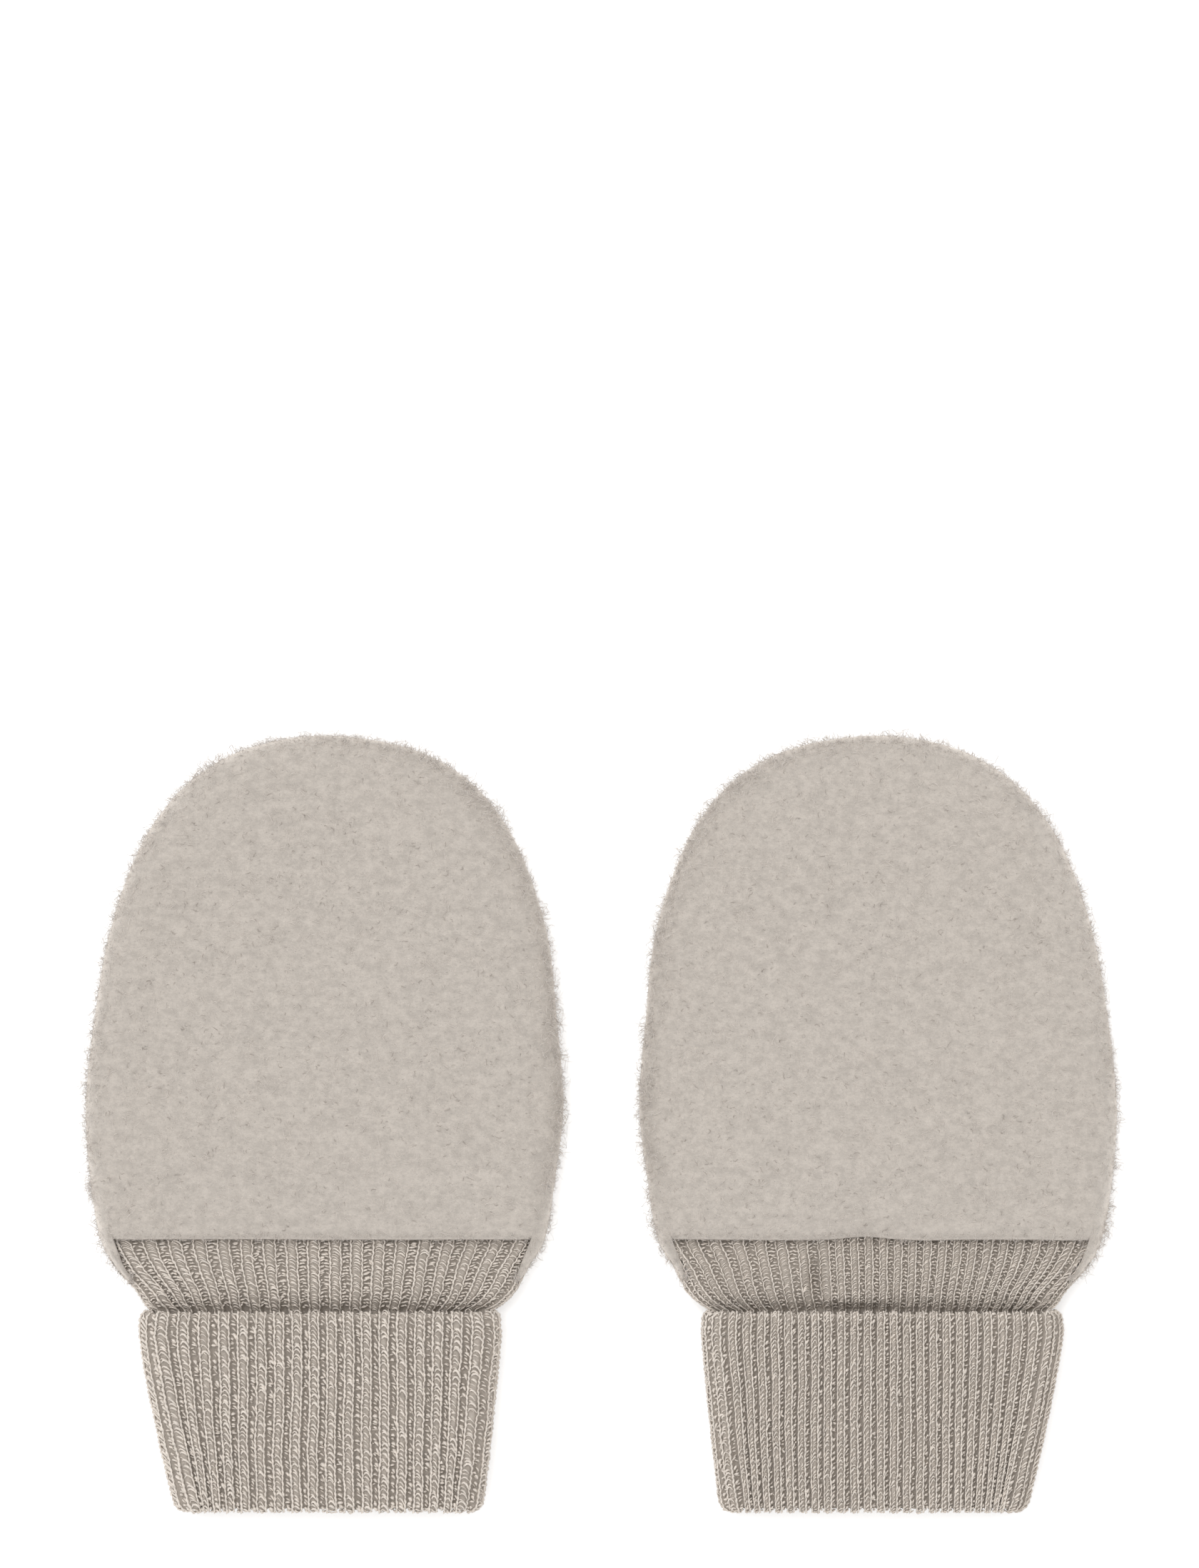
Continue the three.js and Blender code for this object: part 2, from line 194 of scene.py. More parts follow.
def mesh_piece(name, points, faces):
    """A smooth mesh from points in mm and faces that all have the same number of corners."""
    mesh = bpy.data.meshes.new(name)
    corners = faces.shape[1]
    mesh.vertices.add(len(points))
    mesh.vertices.foreach_set("co", (points * MM).astype(np.float32).ravel())
    mesh.loops.add(faces.size)
    mesh.loops.foreach_set("vertex_index", faces.astype(np.int32).ravel())
    mesh.polygons.add(len(faces))
    mesh.polygons.foreach_set("loop_start", np.arange(0, faces.size, corners, dtype=np.int32))
    mesh.polygons.foreach_set("use_smooth", np.ones(len(faces), dtype=bool))
    mesh.update(calc_edges=True)
    piece = bpy.data.objects.new(name, mesh)
    bpy.context.collection.objects.link(piece)
    return piece


def grid_faces(rows, columns):
    at = np.arange(rows * columns).reshape(rows, columns)
    corners = (at[:-1, :-1], at[:-1, 1:], at[1:, 1:], at[1:, :-1])
    return np.stack([corner.ravel() for corner in corners], axis=1)


def only(piece):
    bpy.ops.object.select_all(action="DESELECT")
    bpy.context.view_layer.objects.active = piece
    piece.select_set(True)


def thicken(piece, thickness):
    """Solidify adds the inner face, away from the side that faces outwards."""
    only(piece)
    wall = piece.modifiers.new("Wall", "SOLIDIFY")
    wall.thickness = thickness * MM
    wall.offset = -1
    bpy.ops.object.modifier_apply(modifier=wall.name)


print("a grid of 3 by 4 points has", len(grid_faces(3, 4)), "faces")

# %% [markdown]
# ## What wool does to light
# Wool has no gloss that one can see, but each fibre scatters light sideways, which shows as a faint glow
# at grazing angles: that is the sheen of the shader. Its colour is never flat, because dyed fibres are
# blended before they are spun or felted. A shared node group gives that blend as soft lumps and fine
# specks, and a second one gives the nap, a fine unevenness of height. Each cloth sets its own scale and
# strength.

# %% Shared wool groups
def new_group(name, inputs, outputs):
    group = bpy.data.node_groups.new(name, "ShaderNodeTree")
    for label, kind, value in inputs:
        socket = group.interface.new_socket(label, in_out="INPUT", socket_type=kind)
        if value is not None:
            socket.default_value = value
    for label, kind in outputs:
        group.interface.new_socket(label, in_out="OUTPUT", socket_type=kind)
    return group, group.nodes.new("NodeGroupInput"), group.nodes.new("NodeGroupOutput")


def noise_node(tree, place, scale, detail, roughness=0.6):
    node = tree.nodes.new("ShaderNodeTexNoise")
    node.inputs["Detail"].default_value = detail
    node.inputs["Roughness"].default_value = roughness
    tree.links.new(place, node.inputs["Vector"])
    tree.links.new(scale, node.inputs["Scale"])
    return node.outputs["Fac"]


def spread(tree, value, low, high, to_low, to_high):
    node = tree.nodes.new("ShaderNodeMapRange")
    node.interpolation_type = "SMOOTHSTEP"
    for label, number in (("From Min", low), ("From Max", high), ("To Min", to_low), ("To Max", to_high)):
        node.inputs[label].default_value = number
    tree.links.new(value, node.inputs["Value"])
    return node.outputs["Result"]


def math_node(tree, operation, first, second):
    node = tree.nodes.new("ShaderNodeMath")
    node.operation = operation
    for socket, value in zip(node.inputs, (first, second)):
        if isinstance(value, (int, float)):
            socket.default_value = value
        else:
            tree.links.new(value, socket)
    return node.outputs[0]


def make_blend_group():
    """Colour of blended wool: soft lumps, and specks both darker and lighter than the rest."""
    group, given, made = new_group(
        "Blended wool",
        [
            ("Place", "NodeSocketVector", None),
            ("Colour", "NodeSocketColor", (0.5, 0.5, 0.5, 1)),
            ("Lump scale", "NodeSocketFloat", 500.0),
            ("Speck scale", "NodeSocketFloat", 2500.0),
            ("Strength", "NodeSocketFloat", 1.0),
        ],
        [("Colour", "NodeSocketColor")],
    )
    place = given.outputs["Place"]
    soft = noise_node(group, place, given.outputs["Lump scale"], 5, 0.85)
    lumps = spread(group, soft, 0.32, 0.68, -0.09, 0.08)
    specks = noise_node(group, place, given.outputs["Speck scale"], 2)
    dark = spread(group, specks, 0.36, 0.24, 0.0, -0.22)
    light = spread(group, specks, 0.66, 0.78, 0.0, 0.16)
    total = math_node(group, "ADD", math_node(group, "ADD", lumps, dark), light)
    scaled = math_node(group, "MULTIPLY", total, given.outputs["Strength"])
    shade = math_node(group, "ADD", scaled, 1.0)
    tint = group.nodes.new("ShaderNodeVectorMath")
    tint.operation = "SCALE"
    group.links.new(given.outputs["Colour"], tint.inputs[0])
    group.links.new(shade, tint.inputs["Scale"])
    group.links.new(tint.outputs[0], made.inputs["Colour"])
    return group


def make_nap_group():
    """Height of the nap: matted lumps with a fine crinkle of fibres on them."""
    group, given, made = new_group(
        "Nap",
        [
            ("Place", "NodeSocketVector", None),
            ("Lump scale", "NodeSocketFloat", 900.0),
            ("Fibre scale", "NodeSocketFloat", 4500.0),
        ],
        [("Height", "NodeSocketFloat")],
    )
    place = given.outputs["Place"]
    lumps = noise_node(group, place, given.outputs["Lump scale"], 3, 0.65)
    fibres = noise_node(group, place, given.outputs["Fibre scale"], 3, 0.7)
    weight = math_node(group, "MULTIPLY", fibres, 0.45)
    group.links.new(math_node(group, "ADD", lumps, weight), made.inputs["Height"])
    return group


BLEND_GROUP = make_blend_group()
NAP_GROUP = make_nap_group()
print("shared groups:", BLEND_GROUP.name, "and", NAP_GROUP.name)

# %% [markdown]
# ## The finishes
# One function sets up a wool finish. Five come from it: the fleece, the loose fibres that stand off it, a
# few darker flecks, the yarn of the rib's stitches, and the ground that is seen between them. The ground is
# the same yarn coloured darker, as painted shade for the deep gaps between the stitches.
# Fleece is also given painted rim light: its colour grows lighter where it turns away from the eye, driven
# by the facing of the surface, to stand in for the lit fibre tips one looks along there. It has a stretch
# as well, which draws its lumps out a little.

# %% Wool finishes
# Painted rim light: the facings between which the fleece's colour grows lighter.
RIM_LIGHT_FROM = 0.15
RIM_LIGHT_TO = 0.85


def wool(name, colour, lump, speck, strength, sheen, nap=None, stretch=(1, 1, 1), painted_rim_light=0.0):
    material = bpy.data.materials.new(name)
    material.use_nodes = True
    tree = material.node_tree
    shader = tree.nodes["Principled BSDF"]
    shader.inputs["Roughness"].default_value = 0.95
    shader.inputs["Specular IOR Level"].default_value = 0.12
    shader.inputs["Sheen Weight"].default_value = sheen
    shader.inputs["Sheen Roughness"].default_value = 0.55
    shader.inputs["Sheen Tint"].default_value = (1.0, 0.97, 0.93, 1.0)
    mapping = tree.nodes.new("ShaderNodeMapping")
    mapping.inputs["Scale"].default_value = stretch
    tree.links.new(tree.nodes.new("ShaderNodeTexCoord").outputs["Object"], mapping.inputs["Vector"])
    place = mapping.outputs["Vector"]
    blend = tree.nodes.new("ShaderNodeGroup")
    blend.node_tree = BLEND_GROUP
    blend.inputs["Colour"].default_value = (*colour, 1)
    blend.inputs["Lump scale"].default_value = 1 / (lump * MM)
    blend.inputs["Speck scale"].default_value = 1 / (speck * MM)
    blend.inputs["Strength"].default_value = strength
    tree.links.new(place, blend.inputs["Place"])
    # Painted rim light: the colour is made lighter where the surface turns away from the eye.
    facing = tree.nodes.new("ShaderNodeLayerWeight").outputs["Facing"]
    rim_light_gain = spread(tree, facing, RIM_LIGHT_FROM, RIM_LIGHT_TO, 1.0, 1.0 + painted_rim_light)
    rim_lit_colour = tree.nodes.new("ShaderNodeVectorMath")
    rim_lit_colour.operation = "SCALE"
    tree.links.new(blend.outputs["Colour"], rim_lit_colour.inputs[0])
    tree.links.new(rim_light_gain, rim_lit_colour.inputs["Scale"])
    tree.links.new(rim_lit_colour.outputs[0], shader.inputs["Base Color"])
    if nap:
        height = tree.nodes.new("ShaderNodeGroup")
        height.node_tree = NAP_GROUP
        height.inputs["Lump scale"].default_value = 1 / (nap["lump"] * MM)
        height.inputs["Fibre scale"].default_value = 1 / (nap["fibre"] * MM)
        bump = tree.nodes.new("ShaderNodeBump")
        bump.inputs["Strength"].default_value = nap["strength"]
        bump.inputs["Distance"].default_value = nap["depth"] * MM
        tree.links.new(place, height.inputs["Place"])
        tree.links.new(height.outputs["Height"], bump.inputs["Height"])
        tree.links.new(bump.outputs["Normal"], shader.inputs["Normal"])
    return material


FLEECE = wool(
    "Felted fleece", (0.53, 0.48, 0.43), lump=2.2, speck=0.45, strength=1.5, sheen=0.6,
    nap={"lump": 0.6, "fibre": 0.16, "strength": 0.9, "depth": 0.3}, stretch=(1, 1.25, 1), painted_rim_light=0.5,
)
# The loose fibres are coloured lighter than the fleece they stand off, as stray fibres look, and raised
# further as painted light that offsets the shade the rim fibres cast on one another.
FIBRE_LIGHTENED = wool("Loose fibres", (0.67, 0.61, 0.56), lump=1.5, speck=0.3, strength=0.8, sheen=0.7)
FLECK = wool("Dark flecks", (0.36, 0.315, 0.28), lump=1.5, speck=0.3, strength=0.8, sheen=0.2)
YARN = wool(
    "Rib yarn", (0.785, 0.714, 0.64), lump=1.2, speck=0.25, strength=1.6, sheen=0.25,
    nap={"lump": 0.3, "fibre": 0.1, "strength": 0.9, "depth": 0.08},
)
# Painted shade: the rib's ground is the rib yarn coloured darker, standing in for the shade deep between
# the stitches.
SHADED_GROUND = wool(
    "Rib ground in painted shade", (0.455, 0.405, 0.356), lump=0.9, speck=0.35, strength=1.8, sheen=0.2,
    nap={"lump": 0.5, "fibre": 0.15, "strength": 0.9, "depth": 0.2},
)
print("finishes:", [material.name for material in (FLEECE, FIBRE_LIGHTENED, FLECK, YARN, SHADED_GROUND)])

# %% [markdown]
# ## The outline of a hand
# Seen from above a hand is a line of known widths, and seen from its end it is a flat section with round
# sides. One helper walks the line with even steps. The others say where a place lies on such a section,
# and how deep inside the edge that is.

# %% Outline of a hand
EDGE_SHARE = 0.11
OUTLINE_STEPS = 601


def even_steps(points, count):
    """Points at even steps along a line."""
    length = np.concatenate([[0], np.cumsum(np.hypot(*np.diff(points, axis=0).T))])
    at = np.linspace(0, length[-1], count)
    return np.stack([np.interp(at, length, points[:, i]) for i in (0, 1)], axis=1)


def section(run, share=EDGE_SHARE):
    """Where a place lies on a section with round sides, and which way its surface faces there."""
    angle = math.pi / 2 * np.minimum(1, np.minimum(run, 1 - run) / share)
    side = np.where(run < 0.5, -1, 1)
    flat = np.clip((2 * run - 1) / (1 - 2 * share), -1, 1)
    return flat, side * np.cos(angle), np.sin(angle)


def hand_outline(mitten, start):
    share = 1 - (1 - np.linspace(0, 1, OUTLINE_STEPS)) ** 2
    along = start + (HAND_LENGTH - FUZZ - start) * share
    left = np.stack([-fleece_edge(mitten, -1, along), along], axis=1)
    right = np.stack([fleece_edge(mitten, 1, along), along], axis=1)
    return even_steps(np.concatenate([left, right[-2::-1]]), OUTLINE_STEPS)


def on_section(mitten, run, along):
    """Place across a hand at a share of the way round its top, and how deep inside the edge that is."""
    flat, facing, _ = section(run)
    left, right = fleece_edge(mitten, -1, along), fleece_edge(mitten, 1, along)
    x = (EDGE_HEIGHT - left) + (left + right - 2 * EDGE_HEIGHT) * (flat + 1) / 2 + facing * EDGE_HEIGHT
    return x, np.where(x < 0, left + x, right - x)


OUTLINES = {mitten["name"]: hand_outline(mitten, -BACK_DROP) for mitten in MITTENS}
print("the fingertip lies at", round(float(OUTLINES["left"][:, 1].max()), 1), "mm from the seam")

# %% [markdown]
# ## The mouth
# The front panel ends over the rib in a line that is nearly straight. It has a slow wave, and a pucker on
# the right mitten. Beside the neck, though, a narrow strip of it runs on and meets the back panel, which
# reaches lower. A curve between a square and an ellipse turns that corner.

# %% Mouth of a panel
STRIP_WIDTH = 2.0
CORNER_POWER = 3
MOUTH_WAVE = {"size": 9.0, "height": 0.12}
PUCKER = {"x": -2.8, "wide": 4.5, "left": 0.0, "right": 0.45}


def mouth_lift(mitten, x):
    wave = MOUTH_WAVE["height"] * soft_noise(x, 0 * x, MOUTH_WAVE["size"], mitten["seed"] + 70)
    return wave + PUCKER[mitten["name"]] * np.exp(-(((x - PUCKER["x"]) / PUCKER["wide"]) ** 2))


def mouth_along(mitten, run, front):
    """How far along the mouth of the front or the back panel lies."""
    if not front:
        return np.full_like(run, -BACK_DROP)
    inset = EDGE_HEIGHT * (1 - np.abs(section(run)[1]))
    along = -BACK_DROP * (1 - np.minimum(inset / STRIP_WIDTH, 1) ** CORNER_POWER) ** (1 / CORNER_POWER)
    return along + mouth_lift(mitten, on_section(mitten, run, along)[0]) * (1 - along / -BACK_DROP)


def mouth_line(mitten):
    """The mouth of the front panel as points in plan."""
    run = np.linspace(0, 1, OUTLINE_STEPS)
    along = mouth_along(mitten, run, True)
    return np.stack([on_section(mitten, run, along)[0], along], axis=1)


print("the right mouth rises by", round(float(mouth_line(MITTENS[1])[:, 1].max()), 2), "mm at its pucker")

# %% [markdown]
# ## The grid of a panel
# A panel has four edges: the mouth, two sides and the top. If the grid of a panel follows all four, its
# threads stay nearly square everywhere, also round the fingertip. So the outline is split into its four
# edges, and the inside is filled in between them, a way of drawing that is called a Coons patch.

# %% Grid of a panel
SIDE_PART = 0.33
PALM_START = 10.0
PLACES_AT_ONCE = 3000


def outward_normals(line):
    way = np.gradient(line, axis=0)
    way /= np.hypot(*way.T)[:, None]
    return np.stack([-way[:, 1], way[:, 0]], axis=1)


def edge_distance(place, line):
    """Distance from places to a line, and the way that leads from the line to the inside there."""
    flat = place.reshape(-1, 2)
    normal = -outward_normals(line)
    start, way = line[:-1], np.diff(line, axis=0)
    length = (way**2).sum(1)
    distance = np.empty(len(flat))
    inward = np.empty((len(flat), 2))
    for first in range(0, len(flat), PLACES_AT_ONCE):
        batch = slice(first, first + PLACES_AT_ONCE)
        away = flat[batch, None] - start[None]
        share = np.clip((away * way).sum(2) / length, 0, 1)
        gap = ((away - share[..., None] * way) ** 2).sum(2)
        near = gap.argmin(1)
        rows = np.arange(len(near))
        part = share[rows, near][:, None]
        distance[batch] = np.sqrt(gap[rows, near])
        inward[batch] = (1 - part) * normal[near] + part * normal[near + 1]
    inward /= np.hypot(*inward.T)[:, None]
    return distance.reshape(place.shape[:-1]), inward.reshape(place.shape)


def coons_patch(left, right, bottom, top):
    """Fills in the inside of four edges with a grid of threads."""
    s = np.linspace(0, 1, len(bottom))[None, :, None]
    t = np.linspace(0, 1, len(left))[:, None, None]
    across = (1 - s) * left[:, None] + s * right[:, None]
    upward = (1 - t) * bottom[None] + t * top[None]
    corners = (1 - t) * ((1 - s) * left[0] + s * right[0]) + t * ((1 - s) * left[-1] + s * right[-1])
    return across + upward - corners


def hand_part(outline, columns, rows):
    """The grid from PALM_START up to the fingertip: filled in flat, then turned down round its edge."""
    spare = EDGE_HEIGHT * (math.pi / 2 - 1)
    opened = outline + spare * outward_normals(outline)
    split = int(len(outline) * SIDE_PART)
    left = even_steps(opened[: split + 1], rows)
    right = even_steps(opened[len(opened) - split - 1 :][::-1], rows)
    top = even_steps(opened[split : len(opened) - split], columns)
    bottom = left[0] + np.linspace(0, 1, columns)[:, None] * (right[0] - left[0])
    place = coons_patch(left, right, bottom, top)
    run, inward = edge_distance(place, opened[::2])
    turned = np.minimum(run / EDGE_HEIGHT, math.pi / 2)
    depth = EDGE_HEIGHT * (1 - np.cos(turned)) + np.maximum(run - EDGE_HEIGHT * math.pi / 2, 0)
    return place + inward * (spare + depth - run)[..., None], depth


def panel_grid(mitten, front, columns, rows, palm_rows):
    """Places and depths of a whole panel: the hand, and below it rows that run straight to the mouth."""
    outline = hand_outline(mitten, PALM_START)
    place, depth = hand_part(outline, columns, rows)
    left, right = fleece_edge(mitten, -1, PALM_START), fleece_edge(mitten, 1, PALM_START)
    arc = EDGE_HEIGHT * math.pi / 2
    width = left + right - 2 * EDGE_HEIGHT
    step = np.linspace(0, width + 2 * arc, columns)
    run = np.interp(step, [0, arc, arc + width, 2 * arc + width], [0, EDGE_SHARE, 1 - EDGE_SHARE, 1])
    down = np.linspace(0, 1, palm_rows + 1)[:0:-1, None]
    along = PALM_START + (mouth_along(mitten, run, front) - PALM_START) * down
    x, inside = on_section(mitten, run, along)
    start_x, start_inside = on_section(mitten, run, PALM_START)
    x = x + (place[0, :, 0] - start_x) * (1 - down)
    along = along + (place[0, :, 1] - PALM_START) * (1 - down)
    inside = inside + (depth[0] - start_inside) * (1 - down)
    place = np.concatenate([np.stack([x, along], axis=-1), place])
    return place, np.concatenate([inside, depth])


def depth_inside(place, outline):
    return edge_distance(place, outline[::2])[0]


middle = depth_inside(np.array([[[0.0, WIDEST_AT]]]), OUTLINES["left"])
print("the middle of the palm lies", round(float(middle[0, 0]), 1), "mm inside the edge")

# %% [markdown]
# ## The face of the fleece
# Felted fleece has no weave to show. What makes it look real is its form: it turns over softly at the
# edges, ends over the rib in a thick lip, and is never quite even, with low swellings as wide as a
# fingertip and fine lumps where the fibres have matted. The front panel turns over slowly on the side that
# faces the other mitten, as in the photograph.

# %% Height of the fleece
HAND_TOP = 8.9
HAND_CROWN = 0.7
OUTER_ROUNDING = 7.5
INNER_ROUNDING = 13.0
UNDER_ROUNDING = 6.0
ROUNDING_BLEND = 22.0
ROUNDING_REACH = 25.0
LIP_DROP = 1.5
LIP_REACH = 1.9
SWELLINGS = [
    {"size": 24.0, "height": 0.30},
    {"size": 9.0, "height": 0.13},
    {"size": 3.6, "height": 0.09},
    {"size": 1.7, "height": 0.06},
]
LUMP_STRETCH = 1.25

# Soft troughs and ridges: where they lie, how far they reach and how high they are.
FRONT_CREASES = {
    "left": [
        {"x": -18.0, "along": 3.0, "wide": 16.0, "long": 3.0, "height": -0.35},
        {"x": 24.0, "along": 4.5, "wide": 9.0, "long": 4.0, "height": 0.25},
        {"x": 30.0, "along": 52.0, "wide": 8.0, "long": 26.0, "height": -0.45},
    ],
    "right": [
        {"x": -2.8, "along": 0.5, "wide": 5.0, "long": 3.0, "height": -1.3},
        {"x": -3.5, "along": 5.5, "wide": 7.0, "long": 2.2, "height": 0.35},
        {"x": -24.0, "along": 4.0, "wide": 10.0, "long": 4.0, "height": 0.3},
        {"x": -31.0, "along": 44.0, "wide": 8.0, "long": 24.0, "height": -0.3},
    ],
}


def creased(place, creases):
    height = np.zeros(place.shape[:-1])
    for crease in creases:
        u = (place[..., 0] - crease["x"]) / crease["wide"]
        v = (place[..., 1] - crease["along"]) / crease["long"]
        height += crease["height"] * np.exp(-u * u - v * v)
    return height


def rounding_at(mitten, place, front):
    """How far in from its edge a panel goes on turning over."""
    inward = ease(-mitten["outward"] * place[..., 0], -ROUNDING_BLEND, ROUNDING_BLEND)
    full = OUTER_ROUNDING + (INNER_ROUNDING - OUTER_ROUNDING) * inward if front else UNDER_ROUNDING
    return EDGE_HEIGHT + (full - EDGE_HEIGHT) * ease(place[..., 1], 0, ROUNDING_REACH)


def front_height(mitten, place, depth, mouth_gap):
    rise = round_off(depth, rounding_at(mitten, place, True))
    half = np.where(place[..., 0] < 0, *(hand_edge(mitten, side, WIDEST_AT) for side in (-1, 1)))
    bulge = round_off(HAND_LENGTH - place[..., 1], HAND_LENGTH)
    crown = HAND_CROWN * (1 - (place[..., 0] / half) ** 2) * bulge
    lip = LIP_DROP * (1 - round_off(mouth_gap, LIP_REACH))
    return EDGE_HEIGHT + (HAND_TOP + crown - lip - EDGE_HEIGHT) * rise, rise


def swell(mitten, place, shift=0):
    height = np.zeros(place.shape[:-1])
    for number, row in enumerate(SWELLINGS):
        seed = mitten["seed"] + 10 * number + shift
        height += row["height"] * soft_noise(place[..., 0], place[..., 1] * LUMP_STRETCH, row["size"], seed)
    return height


def front_surface(mitten, place, depth, mouth_gap):
    """Points of the front panel's face for places in plan."""
    z, rise = front_height(mitten, place, depth, mouth_gap)
    bumps = swell(mitten, place) + creased(place, FRONT_CREASES[mitten["name"]])
    z = z + bumps * (0.15 + 0.85 * rise)
    return np.stack([place[..., 0] + mitten["centre"], place[..., 1] + SEAM_Y, z], axis=-1)


swellings = [round(float(swell(mitten, OUTLINES[mitten["name"]]).max()), 2) for mitten in MITTENS]
print("highest swellings at the edges:", swellings, "mm")

# %% [markdown]
# ## The fleece panels
# Each panel is a grid with its heights, given a thickness. The front panel lies on the back panel. The
# back panel is flat, because the mitten rests on it, and only its edge comes up to meet the front.

# %% Front and back panels
FLEECE_WALL = 2.4
FRONT_GRID = {"columns": 107, "rows": 90, "palm_rows": 23}
BACK_GRID = {"columns": 71, "rows": 58, "palm_rows": 14}
EDGE_CLOSING = 0.97
UNDER_SWELL = 0.2
UNDER_GAP = 0.048
UNDER_RISE = 0.02


def make_front(mitten):
    place, depth = panel_grid(mitten, True, **FRONT_GRID)
    mouth_gap = edge_distance(place, place[0])[0]
    points = front_surface(mitten, place, depth, mouth_gap)
    piece = mesh_piece(mitten["name"] + "_front", points.reshape(-1, 3), grid_faces(*depth.shape))
    thicken(piece, FLEECE_WALL)
    keep_inside(piece, mitten)
    finish_piece(piece, FLEECE, [mitten["name"] + "_front_panel"])


def make_back(mitten):
    place, depth = panel_grid(mitten, False, **BACK_GRID)
    rise = round_off(depth, rounding_at(mitten, place, False))
    uneven = UNDER_SWELL * np.abs(swell(mitten, place, shift=5))
    z = (EDGE_HEIGHT * EDGE_CLOSING + uneven) * (1 - rise) + UNDER_RISE * rise + UNDER_GAP
    points = np.stack([place[..., 0] + mitten["centre"], place[..., 1] + SEAM_Y, z], axis=-1)
    faces = grid_faces(*depth.shape)[:, ::-1]
    piece = mesh_piece(mitten["name"] + "_back", points.reshape(-1, 3), faces)
    thicken(piece, FLEECE_WALL)
    finish_piece(piece, FLEECE, [mitten["name"] + "_back_panel"])


def keep_inside(piece, mitten):
    """Solidify pokes through at the mouth's sharp corners, so every point is kept within the outline."""
    points = np.empty(len(piece.data.vertices) * 3)
    piece.data.vertices.foreach_get("co", points)
    points = points.reshape(-1, 3) / MM
    x, along = points[:, 0] - mitten["centre"], points[:, 1] - SEAM_Y
    half = np.where(x < 0, fleece_edge(mitten, -1, along), fleece_edge(mitten, 1, along))
    points[:, 0] = np.clip(x, -half, half) + mitten["centre"]
    piece.data.vertices.foreach_set("co", (points * MM).astype(np.float32).ravel())
    piece.data.update()


for mitten in MITTENS:
    make_front(mitten)
for mitten in MITTENS:
    make_back(mitten)

# %% [markdown]
# ## Loose fibres
# The photograph shows a soft halo round the fleece, about a millimetre deep, and a few lighter fibres that
# lie on its face. Bump can't make an outline fuzzy, so these are real fibres: each is a thin tube that
# tapers to nothing. Thousands are written as one mesh, from arrays of roots, directions and curls.

# %% Tubes from many paths
SIDES = 3


def unit(vectors):
    return vectors / (np.linalg.norm(vectors, axis=-1, keepdims=True) + 1e-9)


def tubes(paths, normals, radii):
    """Points and faces of many thin tubes. paths is (tubes, steps, 3) in mm; radii is (tubes, steps)."""
    along = unit(np.gradient(paths, axis=1))
    side = unit(np.cross(along, normals))
    up = np.cross(side, along)
    angle = 2 * math.pi * (np.arange(SIDES) + 0.5) / SIDES
    ring = np.cos(angle)[:, None] * side[:, :, None] + np.sin(angle)[:, None] * up[:, :, None]
    points = paths[:, :, None] + ring * radii[:, :, None, None]
    count, steps = paths.shape[:2]
    at = np.arange(count * steps * SIDES).reshape(count, steps, SIDES)
    turned = np.roll(at, -1, axis=2)
    faces = np.stack([at[:, :-1], at[:, 1:], turned[:, 1:], turned[:, :-1]], axis=-1)
    return points.reshape(-1, 3), faces.reshape(-1, 4)


def hairs(paths, normals, radii):
    """Tubes that end in a point, made of triangles."""
    points, faces = tubes(paths[:, :-1], normals[:, :-1], radii[:, :-1])
    count, steps = len(paths), paths.shape[1] - 1
    tips = len(points) + np.arange(count)
    last = np.arange(count * steps * SIDES).reshape(count, steps, SIDES)[:, -1]
    caps = np.stack([np.roll(last, -1, axis=1), last, np.repeat(tips[:, None], SIDES, axis=1)], axis=-1)
    halves = np.concatenate([faces[:, [0, 1, 2]], faces[:, [0, 2, 3]], caps.reshape(-1, 3)])
    return np.concatenate([points, paths[:, -1]]), halves


def join_tubes(name, parts):
    points, faces, first = [], [], 0
    for part_points, part_faces in parts:
        points.append(part_points)
        faces.append(part_faces + first)
        first += len(part_points)
    points = np.concatenate(points)
    points[:, 2] = np.maximum(points[:, 2], FLOOR_GAP)
    return mesh_piece(name, points, np.concatenate(faces))


def curly_fibres(roots, ways, normals, length, radius, curl, steps, rng):
    """Fibres that start at their roots, go their ways and bend twice on it."""
    count = len(roots)
    t = np.linspace(0, 1, steps)[None, :, None]
    aside = unit(np.cross(ways, normals))[:, None]
    lift = normals[:, None]
    phase = rng.uniform(0, 2 * math.pi, (count, 1, 1))
    turn = rng.uniform(3.0, 7.0, (count, 1, 1))
    lean = rng.normal(0, 0.5, (count, 1, 1))
    long = (length * rng.uniform(0.5, 1.35, count))[:, None, None]
    bend = np.sin(turn * t + phase) - np.sin(phase)
    rise = np.cos(turn * t * 0.8 + phase) - np.cos(phase)
    paths = roots[:, None] + ways[:, None] * t * long
    paths = paths + aside * long * (curl * bend + lean * t * t * 0.6) + lift * long * curl * 0.6 * rise
    radii = radius * rng.uniform(0.7, 1.3, (count, 1)) * (1 - 0.75 * t[:, :, 0] ** 2)
    return hairs(paths, np.repeat(lift, steps, axis=1), radii)


upright = np.array([[0.0, 0.0, 1.0]])
one = curly_fibres(0 * upright, upright, upright[:, ::-1], 1.0, 0.05, 0.4, 5, np.random.default_rng(1))
print("one fibre has", len(one[1]), "triangles")

# %% [markdown]
# ## The halo and the nap
# Rim fibres stand out all round the edge, some up, some down, and longer where they gather in tufts.
# Another set hangs over the lip at the mouth. Face fibres lie almost flat and are sparse, so that they
# break up the surface without making it look hairy, and short dark flecks do the same for its colour.

